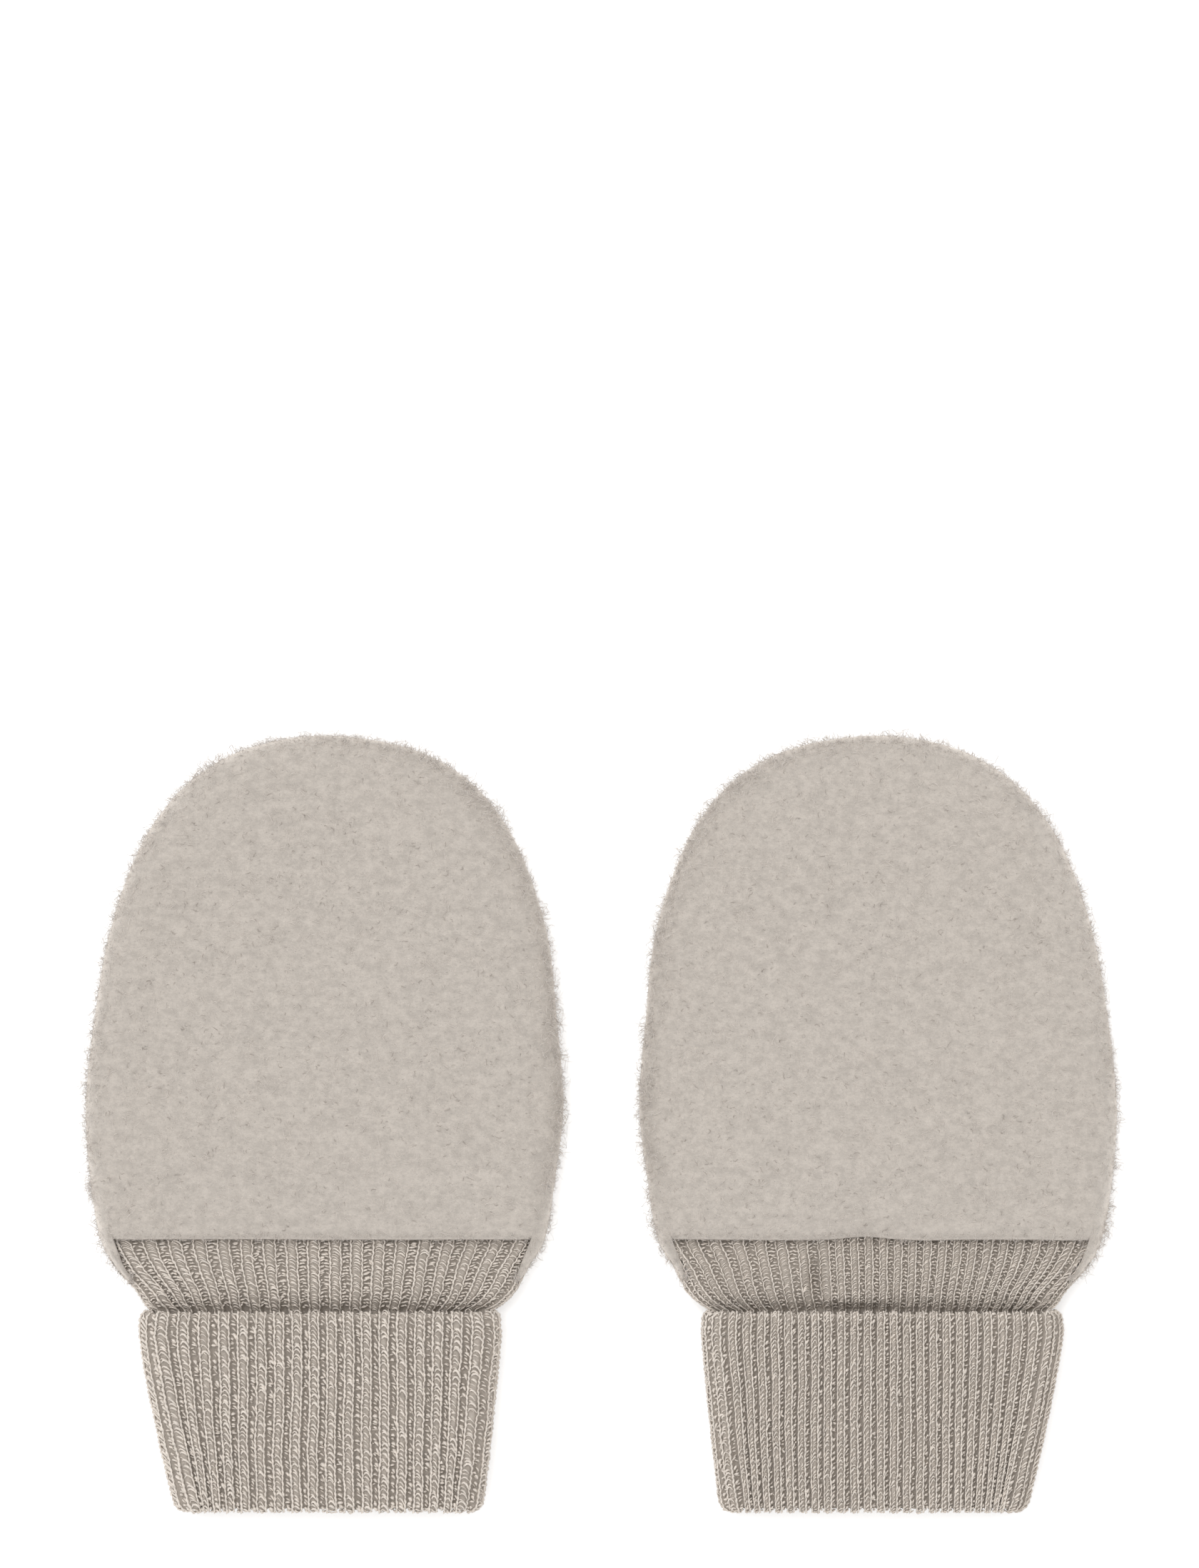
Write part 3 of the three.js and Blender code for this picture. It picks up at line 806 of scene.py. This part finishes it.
# %% Halo and nap of each mitten
RIM_FIBRES = 6400
RIM_RADIUS = 0.046
RIM_IN = 5.2
RIM_UP = 4.1
RIM_CURL = 0.46
RIM_LENGTH = 0.65
TUFT_LENGTH = 1.3
TUFT_SIZE = 0.9
ROOT_DEPTH = 0.45
FIBRE_STEPS = 5
LIP_FIBRES = 500
LIP_DEPTH = 1.6
NAP_REACH = 46
NAP_RADIUS = 0.045
NAP_LIFT = 0.02
NAP = {"count": 2400, "length": 1.7, "seed": 300}
FLECKS = {"count": 900, "length": 0.9, "seed": 400}


def make_halo(mitten):
    rng = np.random.default_rng(mitten["seed"] + 100)
    outline = OUTLINES[mitten["name"]]
    start = rng.uniform(0, len(outline) - 1.001, RIM_FIBRES)
    low = start.astype(int)
    step = outline[low + 1] - outline[low]
    plan = outline[low] + step * (start - low)[:, None]
    outward = unit(np.stack([-step[:, 1], step[:, 0]], axis=1))
    tilt = np.clip(rng.normal(0.1, 0.45, RIM_FIBRES), -1.0, 1.1)
    inset = RIM_IN * (1 - np.cos(tilt))
    height = EDGE_HEIGHT + RIM_UP * np.sin(tilt)
    roots = np.stack(
        [
            plan[:, 0] - outward[:, 0] * inset + mitten["centre"],
            plan[:, 1] - outward[:, 1] * inset + SEAM_Y,
            height,
        ],
        axis=1,
    )
    ways = np.stack([outward[:, 0] * np.cos(tilt), outward[:, 1] * np.cos(tilt), np.sin(tilt)], axis=1)
    ways = unit(ways + rng.normal(0, 0.55, ways.shape))
    ways[:, 2] = np.maximum(ways[:, 2], -0.4)
    normals = unit(np.cross(ways, rng.normal(0, 1, ways.shape)))
    noise = soft_noise(plan[:, 0], plan[:, 1] + height, TUFT_SIZE, mitten["seed"] + 90)
    length = RIM_LENGTH + TUFT_LENGTH * np.clip(0.5 + 0.9 * noise, 0, 1) ** 1.5
    roots = roots - ROOT_DEPTH * ways
    return curly_fibres(roots, ways, normals, length, RIM_RADIUS, RIM_CURL, FIBRE_STEPS, rng)


def make_lip_fibres(mitten):
    rng = np.random.default_rng(mitten["seed"] + 200)
    line = mouth_line(mitten)
    pick = rng.integers(0, len(line), LIP_FIBRES)
    plan = line[pick] + rng.normal(0, 0.12, (LIP_FIBRES, 2))
    inside = rng.uniform(0, LIP_DEPTH, LIP_FIBRES)
    plan[:, 1] += inside
    depth = depth_inside(plan[:, None], OUTLINES[mitten["name"]])
    surface = front_surface(mitten, plan, depth[:, 0], inside)
    aside = rng.normal(0, 0.7, LIP_FIBRES)
    ways = unit(np.stack([aside, -np.ones(LIP_FIBRES), rng.normal(0.1, 0.4, LIP_FIBRES)], axis=1))
    normals = np.tile([0.0, 0.0, 1.0], (LIP_FIBRES, 1))
    return curly_fibres(surface, ways, normals, 0.9, NAP_RADIUS, 0.25, 4, rng)


def make_nap(mitten, count, length, seed):
    """Fibres that lie on the front panel. Twice as many are drawn, and those on the hand are kept."""
    rng = np.random.default_rng(mitten["seed"] + seed)
    tries = count * 2
    across = rng.uniform(-NAP_REACH, NAP_REACH, tries)
    plan = np.stack([across, rng.uniform(0.5, HAND_LENGTH, tries)], axis=1)
    half = np.where(plan[:, 0] < 0, fleece_edge(mitten, -1, plan[:, 1]), fleece_edge(mitten, 1, plan[:, 1]))
    plan = plan[np.abs(plan[:, 0]) < half - 1.0][:count]
    depth = depth_inside(plan[:, None], OUTLINES[mitten["name"]])
    surface = front_surface(mitten, plan, depth[:, 0], plan[:, 1])
    angle = rng.uniform(0, 2 * math.pi, len(plan))
    ways = np.stack([np.cos(angle), 0.7 * np.sin(angle), rng.uniform(0.0, 0.12, len(plan))], axis=1)
    normals = np.tile([0.0, 0.0, 1.0], (len(plan), 1))
    surface[:, 2] += NAP_LIFT
    return curly_fibres(surface, unit(ways), normals, length, NAP_RADIUS, 0.2, FIBRE_STEPS, rng)


for mitten in MITTENS:
    halo = join_tubes(mitten["name"] + "_fleece_fuzz", [make_halo(mitten), make_lip_fibres(mitten)])
    finish_piece(halo, FIBRE_LIGHTENED)
    nap = join_tubes(mitten["name"] + "_fleece_nap", [make_nap(mitten, **NAP)])
    finish_piece(nap, FIBRE_LIGHTENED)
    flecks = join_tubes(mitten["name"] + "_fleece_flecks", [make_nap(mitten, **FLECKS)])
    finish_piece(flecks, FLECK)

# %% [markdown]
# ## The flattened tube
# The rib is a tube that is gathered from the wide mouth to the narrow wrist, and then folded on itself.
# One line can be followed from the seam, down the neck and into the groove, and another from the turned-up
# edge over the cuff and round the fold into the opening. Both lines are described by how far along and how
# deep they are. The outermost ribs follow the tube's edges, and those in the middle run straight. On the
# right mitten the neck is gathered more tightly on one side, so its ribs are spread there by lanes.

# %% Places on the flattened tube
RIB_EDGE_SHARE = 0.08
RIB_WALL = 2.1
LAYER_GAP = 0.3
CUFF_TOP = 2 * EDGE_HEIGHT
CUFF_SAG = 0.5
EVEN_LANES = ((-1, 1), (-1, 1))


def on_top(turn):
    """Says 1 over the top and -1 past it, and how far round that side the place is."""
    under = (turn < 0) | (turn > 1)
    return np.where(under, -1, 1), np.where(turn < 0, -turn, np.where(turn > 1, 2 - turn, turn))


def on_tube(mitten, turn, along, edges, fans, heights, deep, creases, lanes=EVEN_LANES, bend=3):
    """Points of the flattened tube. turn goes from 0 to 1 over the top, and past both round the sides.

    The ribs between the edges run towards the fans. Lanes say how they are spread over the width, and bend
    how far in from the edges they follow them.
    """
    over, run = on_top(turn)
    flat, facing, up = section(run, RIB_EDGE_SHARE)
    flat = np.interp(flat, *lanes)
    up = up * over
    fan = np.abs(flat) ** bend
    left = edges[0] * fan + (1 - fan) * fans[0]
    right = edges[1] * fan + (1 - fan) * fans[1]
    top, bottom = heights
    x = (EDGE_HEIGHT - left) + (left + right - 2 * EDGE_HEIGHT) * (flat + 1) / 2
    x = x + facing * (EDGE_HEIGHT - deep)
    reach = np.where(up > 0, top - EDGE_HEIGHT, EDGE_HEIGHT - bottom)
    across = x / np.where(x < 0, left, right)
    sag = CUFF_SAG * across * across * np.maximum(up, 0)
    z = EDGE_HEIGHT + up * (reach - deep) - sag
    z = z + creased(np.stack([x, along + 0 * x], axis=-1), creases) * np.maximum(up, 0)
    return np.stack([x + mitten["centre"], along + SEAM_Y + 0 * x, z], axis=-1)


print("the flattened cuff is", CUFF_TOP, "mm high")

# %% [markdown]
# ## The neck
# The neck is the stretch between the fleece and the groove. Its cloth comes out of the mouth in a wide
# fan, with a few soft folds where it is gathered, and dips under the turned-up cuff. At both sides it
# starts lower, where the strip of fleece covers it.

# %% The neck of the tube
NECK_RUN = 13.0
NECK_INSET = 0.6
NECK_FAN = (39.2, 36.4)
SIDE_TUCK = 0.6
NECK_HEIGHT = [
    {"along": -13.2, "top": 4.9},
    {"along": -10.5, "top": 6.9},
    {"along": -6.5, "top": 8.1},
    {"along": -1.8, "top": 8.0},
    {"along": 0.0, "top": 7.2},
]
NECK_CREASES = {
    "left": [
        {"x": 27.0, "along": -6.0, "wide": 4.0, "long": 5.0, "height": -0.35},
        {"x": -22.0, "along": -10.0, "wide": 6.0, "long": 3.0, "height": 0.25},
    ],
    "right": [
        {"x": -11.8, "along": -7.5, "wide": 2.2, "long": 4.5, "height": -2.8},
        {"x": -4.5, "along": -10.6, "wide": 7.0, "long": 1.6, "height": 0.8},
        {"x": -5.0, "along": -13.0, "wide": 7.0, "long": 1.1, "height": -1.4},
        {"x": -2.8, "along": -0.3, "wide": 5.0, "long": 1.2, "height": -0.6},
        {"x": -7.0, "along": -6.0, "wide": 2.6, "long": 5.0, "height": 0.5},
        {"x": -24.0, "along": -7.0, "wide": 7.0, "long": 5.0, "height": 0.3},
        {"x": 20.0, "along": -11.0, "wide": 7.0, "long": 3.0, "height": 0.25},
    ],
}
NECK_LANES = {"left": EVEN_LANES, "right": ((-1, -0.42, 1), (-1, -0.27, 1))}


def neck_place(mitten, turn, share, lift):
    """share goes from 0 at the seam to 1 at the groove."""
    over, run = on_top(turn)
    up = np.maximum(section(run, RIB_EDGE_SHARE)[2] * over, 0)
    mouth = -BACK_DROP * (1 - up) ** 3 - LAYER_GAP - SIDE_TUCK * (1 - up)
    along = mouth + (CUFF_EDGE - mouth) * share
    inset = NECK_INSET * (1 - ease(-along, 4.0, 12.5))
    edges = [hand_edge(mitten, side, np.minimum(along, 0)) - inset for side in (-1, 1)]
    way = np.clip(along / CUFF_EDGE, 0, 1) ** 1.2
    fan = NECK_FAN[0] + (NECK_FAN[1] - NECK_FAN[0]) * way
    bottom = (RIB_WALL + LAYER_GAP) * ease(-along, BACK_DROP, -CUFF_EDGE)
    heights = (read_table(NECK_HEIGHT, "top", along), bottom)
    creases, lanes = NECK_CREASES[mitten["name"]], NECK_LANES[mitten["name"]]
    return on_tube(mitten, turn, along, edges, (fan, fan), heights, -lift, creases, lanes, 2)


print("the neck's top is", float(read_table(NECK_HEIGHT, "top", -5.0)), "mm high halfway")

# %% [markdown]
# ## The cuff
# The turned-up cuff is followed from its loose edge: a quarter turn over the edge, straight down the cuff,
# half a turn round the fold at the wrist, and then back inside. Every length of that way is a known size,
# so a place on it is found by taking them off one after the other.

# %% The cuff of the tube
TURN_RADIUS = 1.3
FOLD_RADIUS = 1.95
CUFF_FAN = -29.0
WANDER = 0.07
CUFF_CREASES = {
    "left": [
        {"x": -14.0, "along": -33.0, "wide": 12.0, "long": 15.0, "height": -0.25},
        {"x": 16.0, "along": -42.0, "wide": 12.0, "long": 8.0, "height": 0.2},
    ],
    "right": [
        {"x": -0.5, "along": -17.5, "wide": 8.0, "long": 2.6, "height": -1.1},
        {"x": -18.0, "along": -36.0, "wide": 10.0, "long": 14.0, "height": 0.2},
        {"x": 15.0, "along": -40.0, "wide": 12.0, "long": 10.0, "height": -0.25},
    ],
}
EDGE_RUN = TURN_RADIUS * math.pi / 2
STRAIGHT_RUN = CUFF_EDGE - TURN_RADIUS - (CUFF_FOLD + FOLD_RADIUS)
FOLD_RUN = FOLD_RADIUS * math.pi
CUFF_RUN = EDGE_RUN + STRAIGHT_RUN + FOLD_RUN


def cuff_place(mitten, turn, down, lift):
    """down is the way in mm from the turned-up edge over the cuff and round the fold."""
    first = np.minimum(down, EDGE_RUN) / TURN_RADIUS
    last = np.clip(down - EDGE_RUN - STRAIGHT_RUN, 0, FOLD_RUN) / FOLD_RADIUS
    inside = np.maximum(down - CUFF_RUN, 0)
    straight = np.clip(down - EDGE_RUN, 0, STRAIGHT_RUN)
    along = CUFF_EDGE - TURN_RADIUS + (TURN_RADIUS + lift) * np.cos(first) - straight
    along = along - (FOLD_RADIUS + lift) * np.sin(last) + inside
    deep = TURN_RADIUS * (1 - np.sin(first)) + FOLD_RADIUS * (1 - np.cos(last))
    deep = deep - lift * np.sin(first) * np.cos(last)
    edges = [cuff_edge(mitten, side, along) for side in (-1, 1)]
    fans = [cuff_edge(mitten, side, CUFF_FAN) for side in (-1, 1)]
    return on_tube(mitten, turn, along, edges, fans, (CUFF_TOP, 0.0), deep, CUFF_CREASES[mitten["name"]])


def wandered(mitten, turn, down, wander=WANDER):
    """Ribs are never quite straight, so every stitch is moved a little along with its neighbours."""
    ribs = mitten["ribs"]
    lane = np.floor(turn * ribs)
    own = soft_noise(lane * 3.7, down, 7.0, mitten["seed"] + 60)
    shared = soft_noise(turn * ribs * 1.5, down, 13.0, mitten["seed"] + 61)
    return turn + wander * (0.6 * own + 0.8 * shared) / ribs


print("the way over the cuff is", round(CUFF_RUN, 1), "mm long")

# %% [markdown]
# ## The rib's ground
# A two by two rib is two columns of knit stitches that stand up and two of purl stitches that sink, over
# and over. The ground is a shell with the ribs as smooth waves, coloured darker than the yarn as painted
# shade for the deep gaps between the stitches. It is made fine enough across to round each rib, and its
# relief is lower underneath, where the cloth is pressed flat. The stitches are laid on it afterwards.

# %% Ground shell of the ribs
RIB_RELIEF = {"left": 1.0, "right": 1.15}
NECK_RELIEF = {"left": 1.0, "right": 1.1}
GROUND_DEPTH = 0.17
VALLEY_SLOPE = (0.18, 0.33)
UNDER_SLOPE = (0.05, 0.16)
UNDER_LOSS = 0.5
NECK_WANDER = 0.03
BORE_RUN = 7.0
POINTS_PER_RIB = 8
UNDER_RIBS = 2
UNDER_POINTS = 4
NECK_SHARES = np.concatenate([[-0.16, -0.08], np.linspace(0, 1, 15), [1.12, 1.3]])
CUFF_ROWS = 56


def tube_turns(mitten):
    """Columns round the whole tube: fine over the top and the rounded sides, coarser beneath."""
    ribs = mitten["ribs"]
    fine = np.arange(-UNDER_RIBS * POINTS_PER_RIB, (ribs + UNDER_RIBS) * POINTS_PER_RIB + 1)
    top = fine / (ribs * POINTS_PER_RIB)
    below = np.linspace(top[-1], 2 + top[0], (ribs - 2 * UNDER_RIBS) * UNDER_POINTS + 1)[1:-1]
    return np.concatenate([top, below, [2 + top[0]]])


def relief(mitten, turn, full):
    """How far the surface lies under the top of the ribs."""
    share = (turn * mitten["ribs"]) % 1
    valley = ease(np.abs(share - 0.5), *VALLEY_SLOPE)
    beneath = ease(turn - 1, *UNDER_SLOPE) * ease(2 - turn, *UNDER_SLOPE)
    return full * valley * (1 - UNDER_LOSS * beneath)


def cuff_relief(mitten, down):
    """The ribs flatten where the cloth turns over, at the turned-up edge and at the wrist."""
    flat = ease(down, 0.0, 3.5) * (1 - ease(down, CUFF_RUN - 5.5, CUFF_RUN - 2))
    return RIB_RELIEF[mitten["name"]] * (0.35 + 0.65 * flat)


def fold_turn(turn):
    """Past the underside's middle the tube is counted from its other side."""
    return np.where(turn > 1.5, turn - 2, turn)


def make_ground(mitten):
    turn = tube_turns(mitten)
    grid, share = np.meshgrid(turn, NECK_SHARES)
    sink = -relief(mitten, grid, NECK_RELIEF[mitten["name"]]) - GROUND_DEPTH
    moved = wandered(mitten, grid, share * NECK_RUN, NECK_WANDER)
    neck = neck_place(mitten, fold_turn(moved), share, sink)
    down = np.concatenate([np.linspace(-1.5, CUFF_RUN, CUFF_ROWS), CUFF_RUN + np.array([3.0, BORE_RUN])])
    grid, down = np.meshgrid(turn, down)
    sink = -relief(mitten, grid, cuff_relief(mitten, down)) - GROUND_DEPTH
    cuff = cuff_place(mitten, fold_turn(wandered(mitten, grid, down)), down, sink)
    points = np.concatenate([neck, cuff])
    points[:, :, 2] = np.maximum(points[:, :, 2], FLOOR_GAP)
    points[:, -1] = points[:, 0]
    faces = grid_faces(*points.shape[:2])[:, ::-1]
    piece = mesh_piece(mitten["name"] + "_rib_shaded_ground", points.reshape(-1, 3), faces)
    only(piece)
    bpy.ops.object.mode_set(mode="EDIT")
    bpy.ops.mesh.select_all(action="SELECT")
    bpy.ops.mesh.remove_doubles(threshold=0.000001)
    bpy.ops.mesh.normals_make_consistent(inside=False)
    bpy.ops.object.mode_set(mode="OBJECT")
    # The ground's finish is painted shade for the gaps between the stitches.
    finish_piece(piece, SHADED_GROUND, [mitten["name"] + "_rib_cuff"])


for mitten in MITTENS:
    make_ground(mitten)

# %% [markdown]
# ## The stitches
# On the raised band, the outer legs of the knit stitches run into one another and make a bright line at
# each side, and between the lines the inner legs cross over as short slanted strokes. In the valley the
# purl stitches show as small bumps. Each of these is a strand of yarn, three-sided and smooth-shaded. They
# all use the same helper as the fibres, with paths worked out on the tube.

# %% Strands on the rib
LINE_RADIUS = 0.25
LINE_STEP = 0.26
NECK_LINE = 0.85
EDGE_DROP = 0.25
STITCH = 0.95
STROKE_RADIUS = 0.22
BUMP_RADIUS = 0.28
YARN_SCALE = {"left": 1.0, "right": 0.84}
CUFF_BUMPS = [
    {"from": -0.04, "wide": 0.2, "fall": 0.45, "late": 0.0, "low": 0.25, "thick": 1.0},
    {"from": -0.08, "wide": 0.2, "fall": 0.35, "late": 0.5, "low": 0.55, "thick": 0.75},
]
NECK_BUMPS = [
    {"from": -0.18, "wide": 0.2, "fall": -0.3, "late": 0.0, "low": 0.4, "thick": 0.75},
    {"from": 0.0, "wide": 0.2, "fall": 0.35, "late": -0.3, "low": 0.4, "thick": 0.75},
]
# How far apart the rows of strokes and of bumps are, on the cuff and on the neck.
ROW_PITCH = {
    "left": {"cuff_stroke": 0.76, "cuff_bump": 1.27, "neck_stroke": 0.50, "neck_bump": 0.62},
    "right": {"cuff_stroke": 0.74, "cuff_bump": 1.30, "neck_stroke": 0.50, "neck_bump": 0.66},
}


def yarn(mitten, place, shares, downs, lifts, radii):
    """Strands through places given by their rib share, way down and lift, all shaped (strands, steps)."""
    wander = WANDER if place is cuff_place else NECK_WANDER
    if mitten["outward"] > 0:
        shares = mitten["ribs"] - shares
    turn = wandered(mitten, shares / mitten["ribs"], downs, wander)
    if place is cuff_place:
        lifts = lifts - EDGE_DROP * (1 - ease(downs, -0.5, 2.4))
    paths = place(mitten, turn, downs, lifts)
    above = place(mitten, turn, downs, lifts + 0.3)
    return tubes(paths, unit(above - paths), radii * YARN_SCALE[mitten["name"]])


def lines(mitten, place, ribs, start, end):
    """The two bright lines at the sides of each raised band."""
    down = np.arange(start, end, LINE_STEP)
    first = np.repeat(ribs, 2)
    side = np.tile([0.25, 0.75], len(ribs))
    lane = first[:, None] * 7.3 + side[:, None] * 5
    seed = mitten["seed"]
    sway = soft_noise(lane, down[None], 1.1, seed) + 0.7 * soft_noise(lane, down[None], 4.0, seed + 2)
    shares = (first + side)[:, None] + 0.036 * sway
    waves = soft_noise(lane * 1.7, down[None], 0.8, seed + 1)
    phase = 2 * math.pi * down[None] / STITCH + 4 * soft_noise(lane, down[None], 9.0, seed + 3)
    shares = shares + 0.02 * np.sin(phase)
    lifts = np.tile([0.04, -0.08], len(ribs))[:, None] + 0.06 * waves + 0.09 * np.cos(phase)
    thick = np.tile([1.0, 0.86], len(ribs))[:, None] * (1 if place is cuff_place else NECK_LINE)
    radii = LINE_RADIUS * thick * (1 + 0.2 * waves + 0.18 * np.cos(phase))
    return yarn(mitten, place, shares, np.broadcast_to(down, shares.shape), lifts, radii)


def rows_of(ribs, start, end, pitch):
    """The rib and the way down of every stitch in a field of rows."""
    down = start + pitch * (np.arange(int((end - start) / pitch)) + 0.5)
    rib, row = np.meshgrid(ribs, down, indexing="ij")
    return rib.reshape(-1, 1), row.reshape(-1, 1)


def strokes(mitten, place, ribs, start, end, pitch, rng):
    """The small arches between the lines: they rise from the left line and go down to the right one."""
    rib, row = rows_of(ribs, start, end, pitch)
    t = np.linspace(0, 1, 5)
    jitter = rng.normal(0, 1, (len(rib), 4))
    shares = rib + 0.37 + 0.025 * jitter[:, 3:] + (0.29 + 0.05 * jitter[:, :1]) * t
    arch = (0.75 + 0.3 * jitter[:, 1:2]) * t - (0.45 + 0.25 * jitter[:, :1]) * np.sin(math.pi * t**0.8)
    downs = row + pitch * arch + 0.11 * jitter[:, 2:3]
    lifts = -0.15 + 0.3 * np.sin(math.pi * np.clip(t * 1.1, 0, 1)) + 0.1 * jitter[:, :1]
    thick = np.clip(1 + 0.3 * jitter[:, 3:], 0.45, 1.5)
    radii = STROKE_RADIUS * (0.5 + 0.5 * np.sin(math.pi * (0.1 + 0.8 * t))) * thick
    return yarn(mitten, place, shares, downs, lifts, radii * min(1, pitch / 0.7))


def bumps(mitten, place, ribs, start, end, pitch, depth, shapes, rng):
    """The purl bumps in the valley. shapes says where each kind starts, how wide it is and how it falls."""
    rib, row = rows_of(ribs, start, end, pitch)
    t = np.linspace(0, 1, 4)
    parts = []
    for shape in shapes:
        jitter = rng.normal(0, 1, (len(rib), 4))
        shares = rib + shape["from"] + 0.04 * jitter[:, :1] + (shape["wide"] + 0.05 * jitter[:, 3:]) * t
        fall = (shape["fall"] + 0.25 * jitter[:, :1]) * t**1.3 + shape["late"] + 0.16 * jitter[:, 1:2]
        downs = row + pitch * fall
        lifts = -depth * shape["low"] - 0.1 + 0.2 * np.sin(math.pi * t) + 0.1 * jitter[:, 2:3]
        thick = shape["thick"] * np.clip(1 + 0.3 * jitter[:, 1:2], 0.5, 1.5)
        radii = BUMP_RADIUS * thick * (0.55 + 0.45 * np.sin(math.pi * t))
        parts.append(yarn(mitten, place, shares, downs, lifts, radii))
    return parts


def neck_by_length(mitten, turn, down, lift):
    """The neck with its way down in mm, as on the cuff."""
    return neck_place(mitten, turn, down / NECK_RUN, lift)


def make_stitches(mitten):
    rng = np.random.default_rng(mitten["seed"] + 500)
    name, ribs = mitten["name"], mitten["ribs"]
    bands, valleys = np.arange(-1, ribs + 1), np.arange(0, ribs + 1)
    pitch = ROW_PITCH[name]
    stop = CUFF_RUN - 0.45 * FOLD_RUN
    parts = [lines(mitten, cuff_place, bands, -0.5, stop)]
    parts.append(strokes(mitten, cuff_place, bands, 0.2, stop, pitch["cuff_stroke"], rng))
    rows = (0.0, stop, pitch["cuff_bump"], RIB_RELIEF[name])
    parts.extend(bumps(mitten, cuff_place, valleys, *rows, CUFF_BUMPS, rng))
    finish_piece(join_tubes(name + "_cuff_stitches", parts), YARN)
    place = neck_by_length
    parts = [lines(mitten, place, bands, -1.0, NECK_RUN + 1.0)]
    parts.append(strokes(mitten, place, bands, -0.8, NECK_RUN + 0.6, pitch["neck_stroke"], rng))
    rows = (-0.5, NECK_RUN, pitch["neck_bump"], NECK_RELIEF[name])
    parts.extend(bumps(mitten, place, valleys, *rows, NECK_BUMPS, rng))
    finish_piece(join_tubes(name + "_neck_stitches", parts), YARN)


for mitten in MITTENS:
    make_stitches(mitten)

# %% [markdown]
# ## Floor, light and camera
# The pair is photographed from straight above on plain white, in even light. The floor is a pale sheet
# that glows a little, as a lit table does. A wide soft sun from the upper left gives the ribs their
# relief, and the sky around fills in the shadows. The camera looks straight down through a long lens, so
# that the edges stay undistorted.

# %% Stage
FRAME_HEIGHT = 292.1
CAMERA_X = -0.33
CAMERA_Y = 62.9
LENS = 200.0
SENSOR = 36.0

bpy.ops.object.select_all(action="DESELECT")
bpy.ops.mesh.primitive_plane_add(size=6, location=(0, 0, -0.00005))
floor = bpy.context.active_object
floor.name = "floor"
paper = bpy.data.materials.new("Floor")
paper.use_nodes = True
paper_shader = paper.node_tree.nodes["Principled BSDF"]
paper_shader.inputs["Base Color"].default_value = (0.9, 0.9, 0.9, 1)
paper_shader.inputs["Roughness"].default_value = 0.9
paper_shader.inputs["Emission Color"].default_value = (1, 1, 1, 1)
paper_shader.inputs["Emission Strength"].default_value = 0.3
floor.data.materials.append(paper)

world = bpy.data.worlds.new("Studio")
bpy.context.scene.world = world
world.use_nodes = True
sky = world.node_tree.nodes["Background"]
sky.inputs["Color"].default_value = (1, 1, 1, 1)
sky.inputs["Strength"].default_value = 0.93

sun_data = bpy.data.lights.new("Window", "SUN")
sun_data.energy = 0.8
sun_data.angle = math.radians(30)
sun = bpy.data.objects.new("Window", sun_data)
sun.rotation_euler = (math.radians(-17), math.radians(-14), 0)
bpy.context.collection.objects.link(sun)

camera_data = bpy.data.cameras.new("Camera")
camera_data.lens = LENS
camera_data.sensor_width = SENSOR
camera_data.clip_start = 0.05
camera_data.clip_end = 20
camera = bpy.data.objects.new("Camera", camera_data)
distance = FRAME_HEIGHT * LENS / SENSOR
camera.location = (CAMERA_X * MM, CAMERA_Y * MM, (distance + EDGE_HEIGHT) * MM)
bpy.context.collection.objects.link(camera)
bpy.context.scene.camera = camera
bpy.context.scene.view_settings.view_transform = "Standard"
print("camera stands", round(distance), "mm above the mittens")
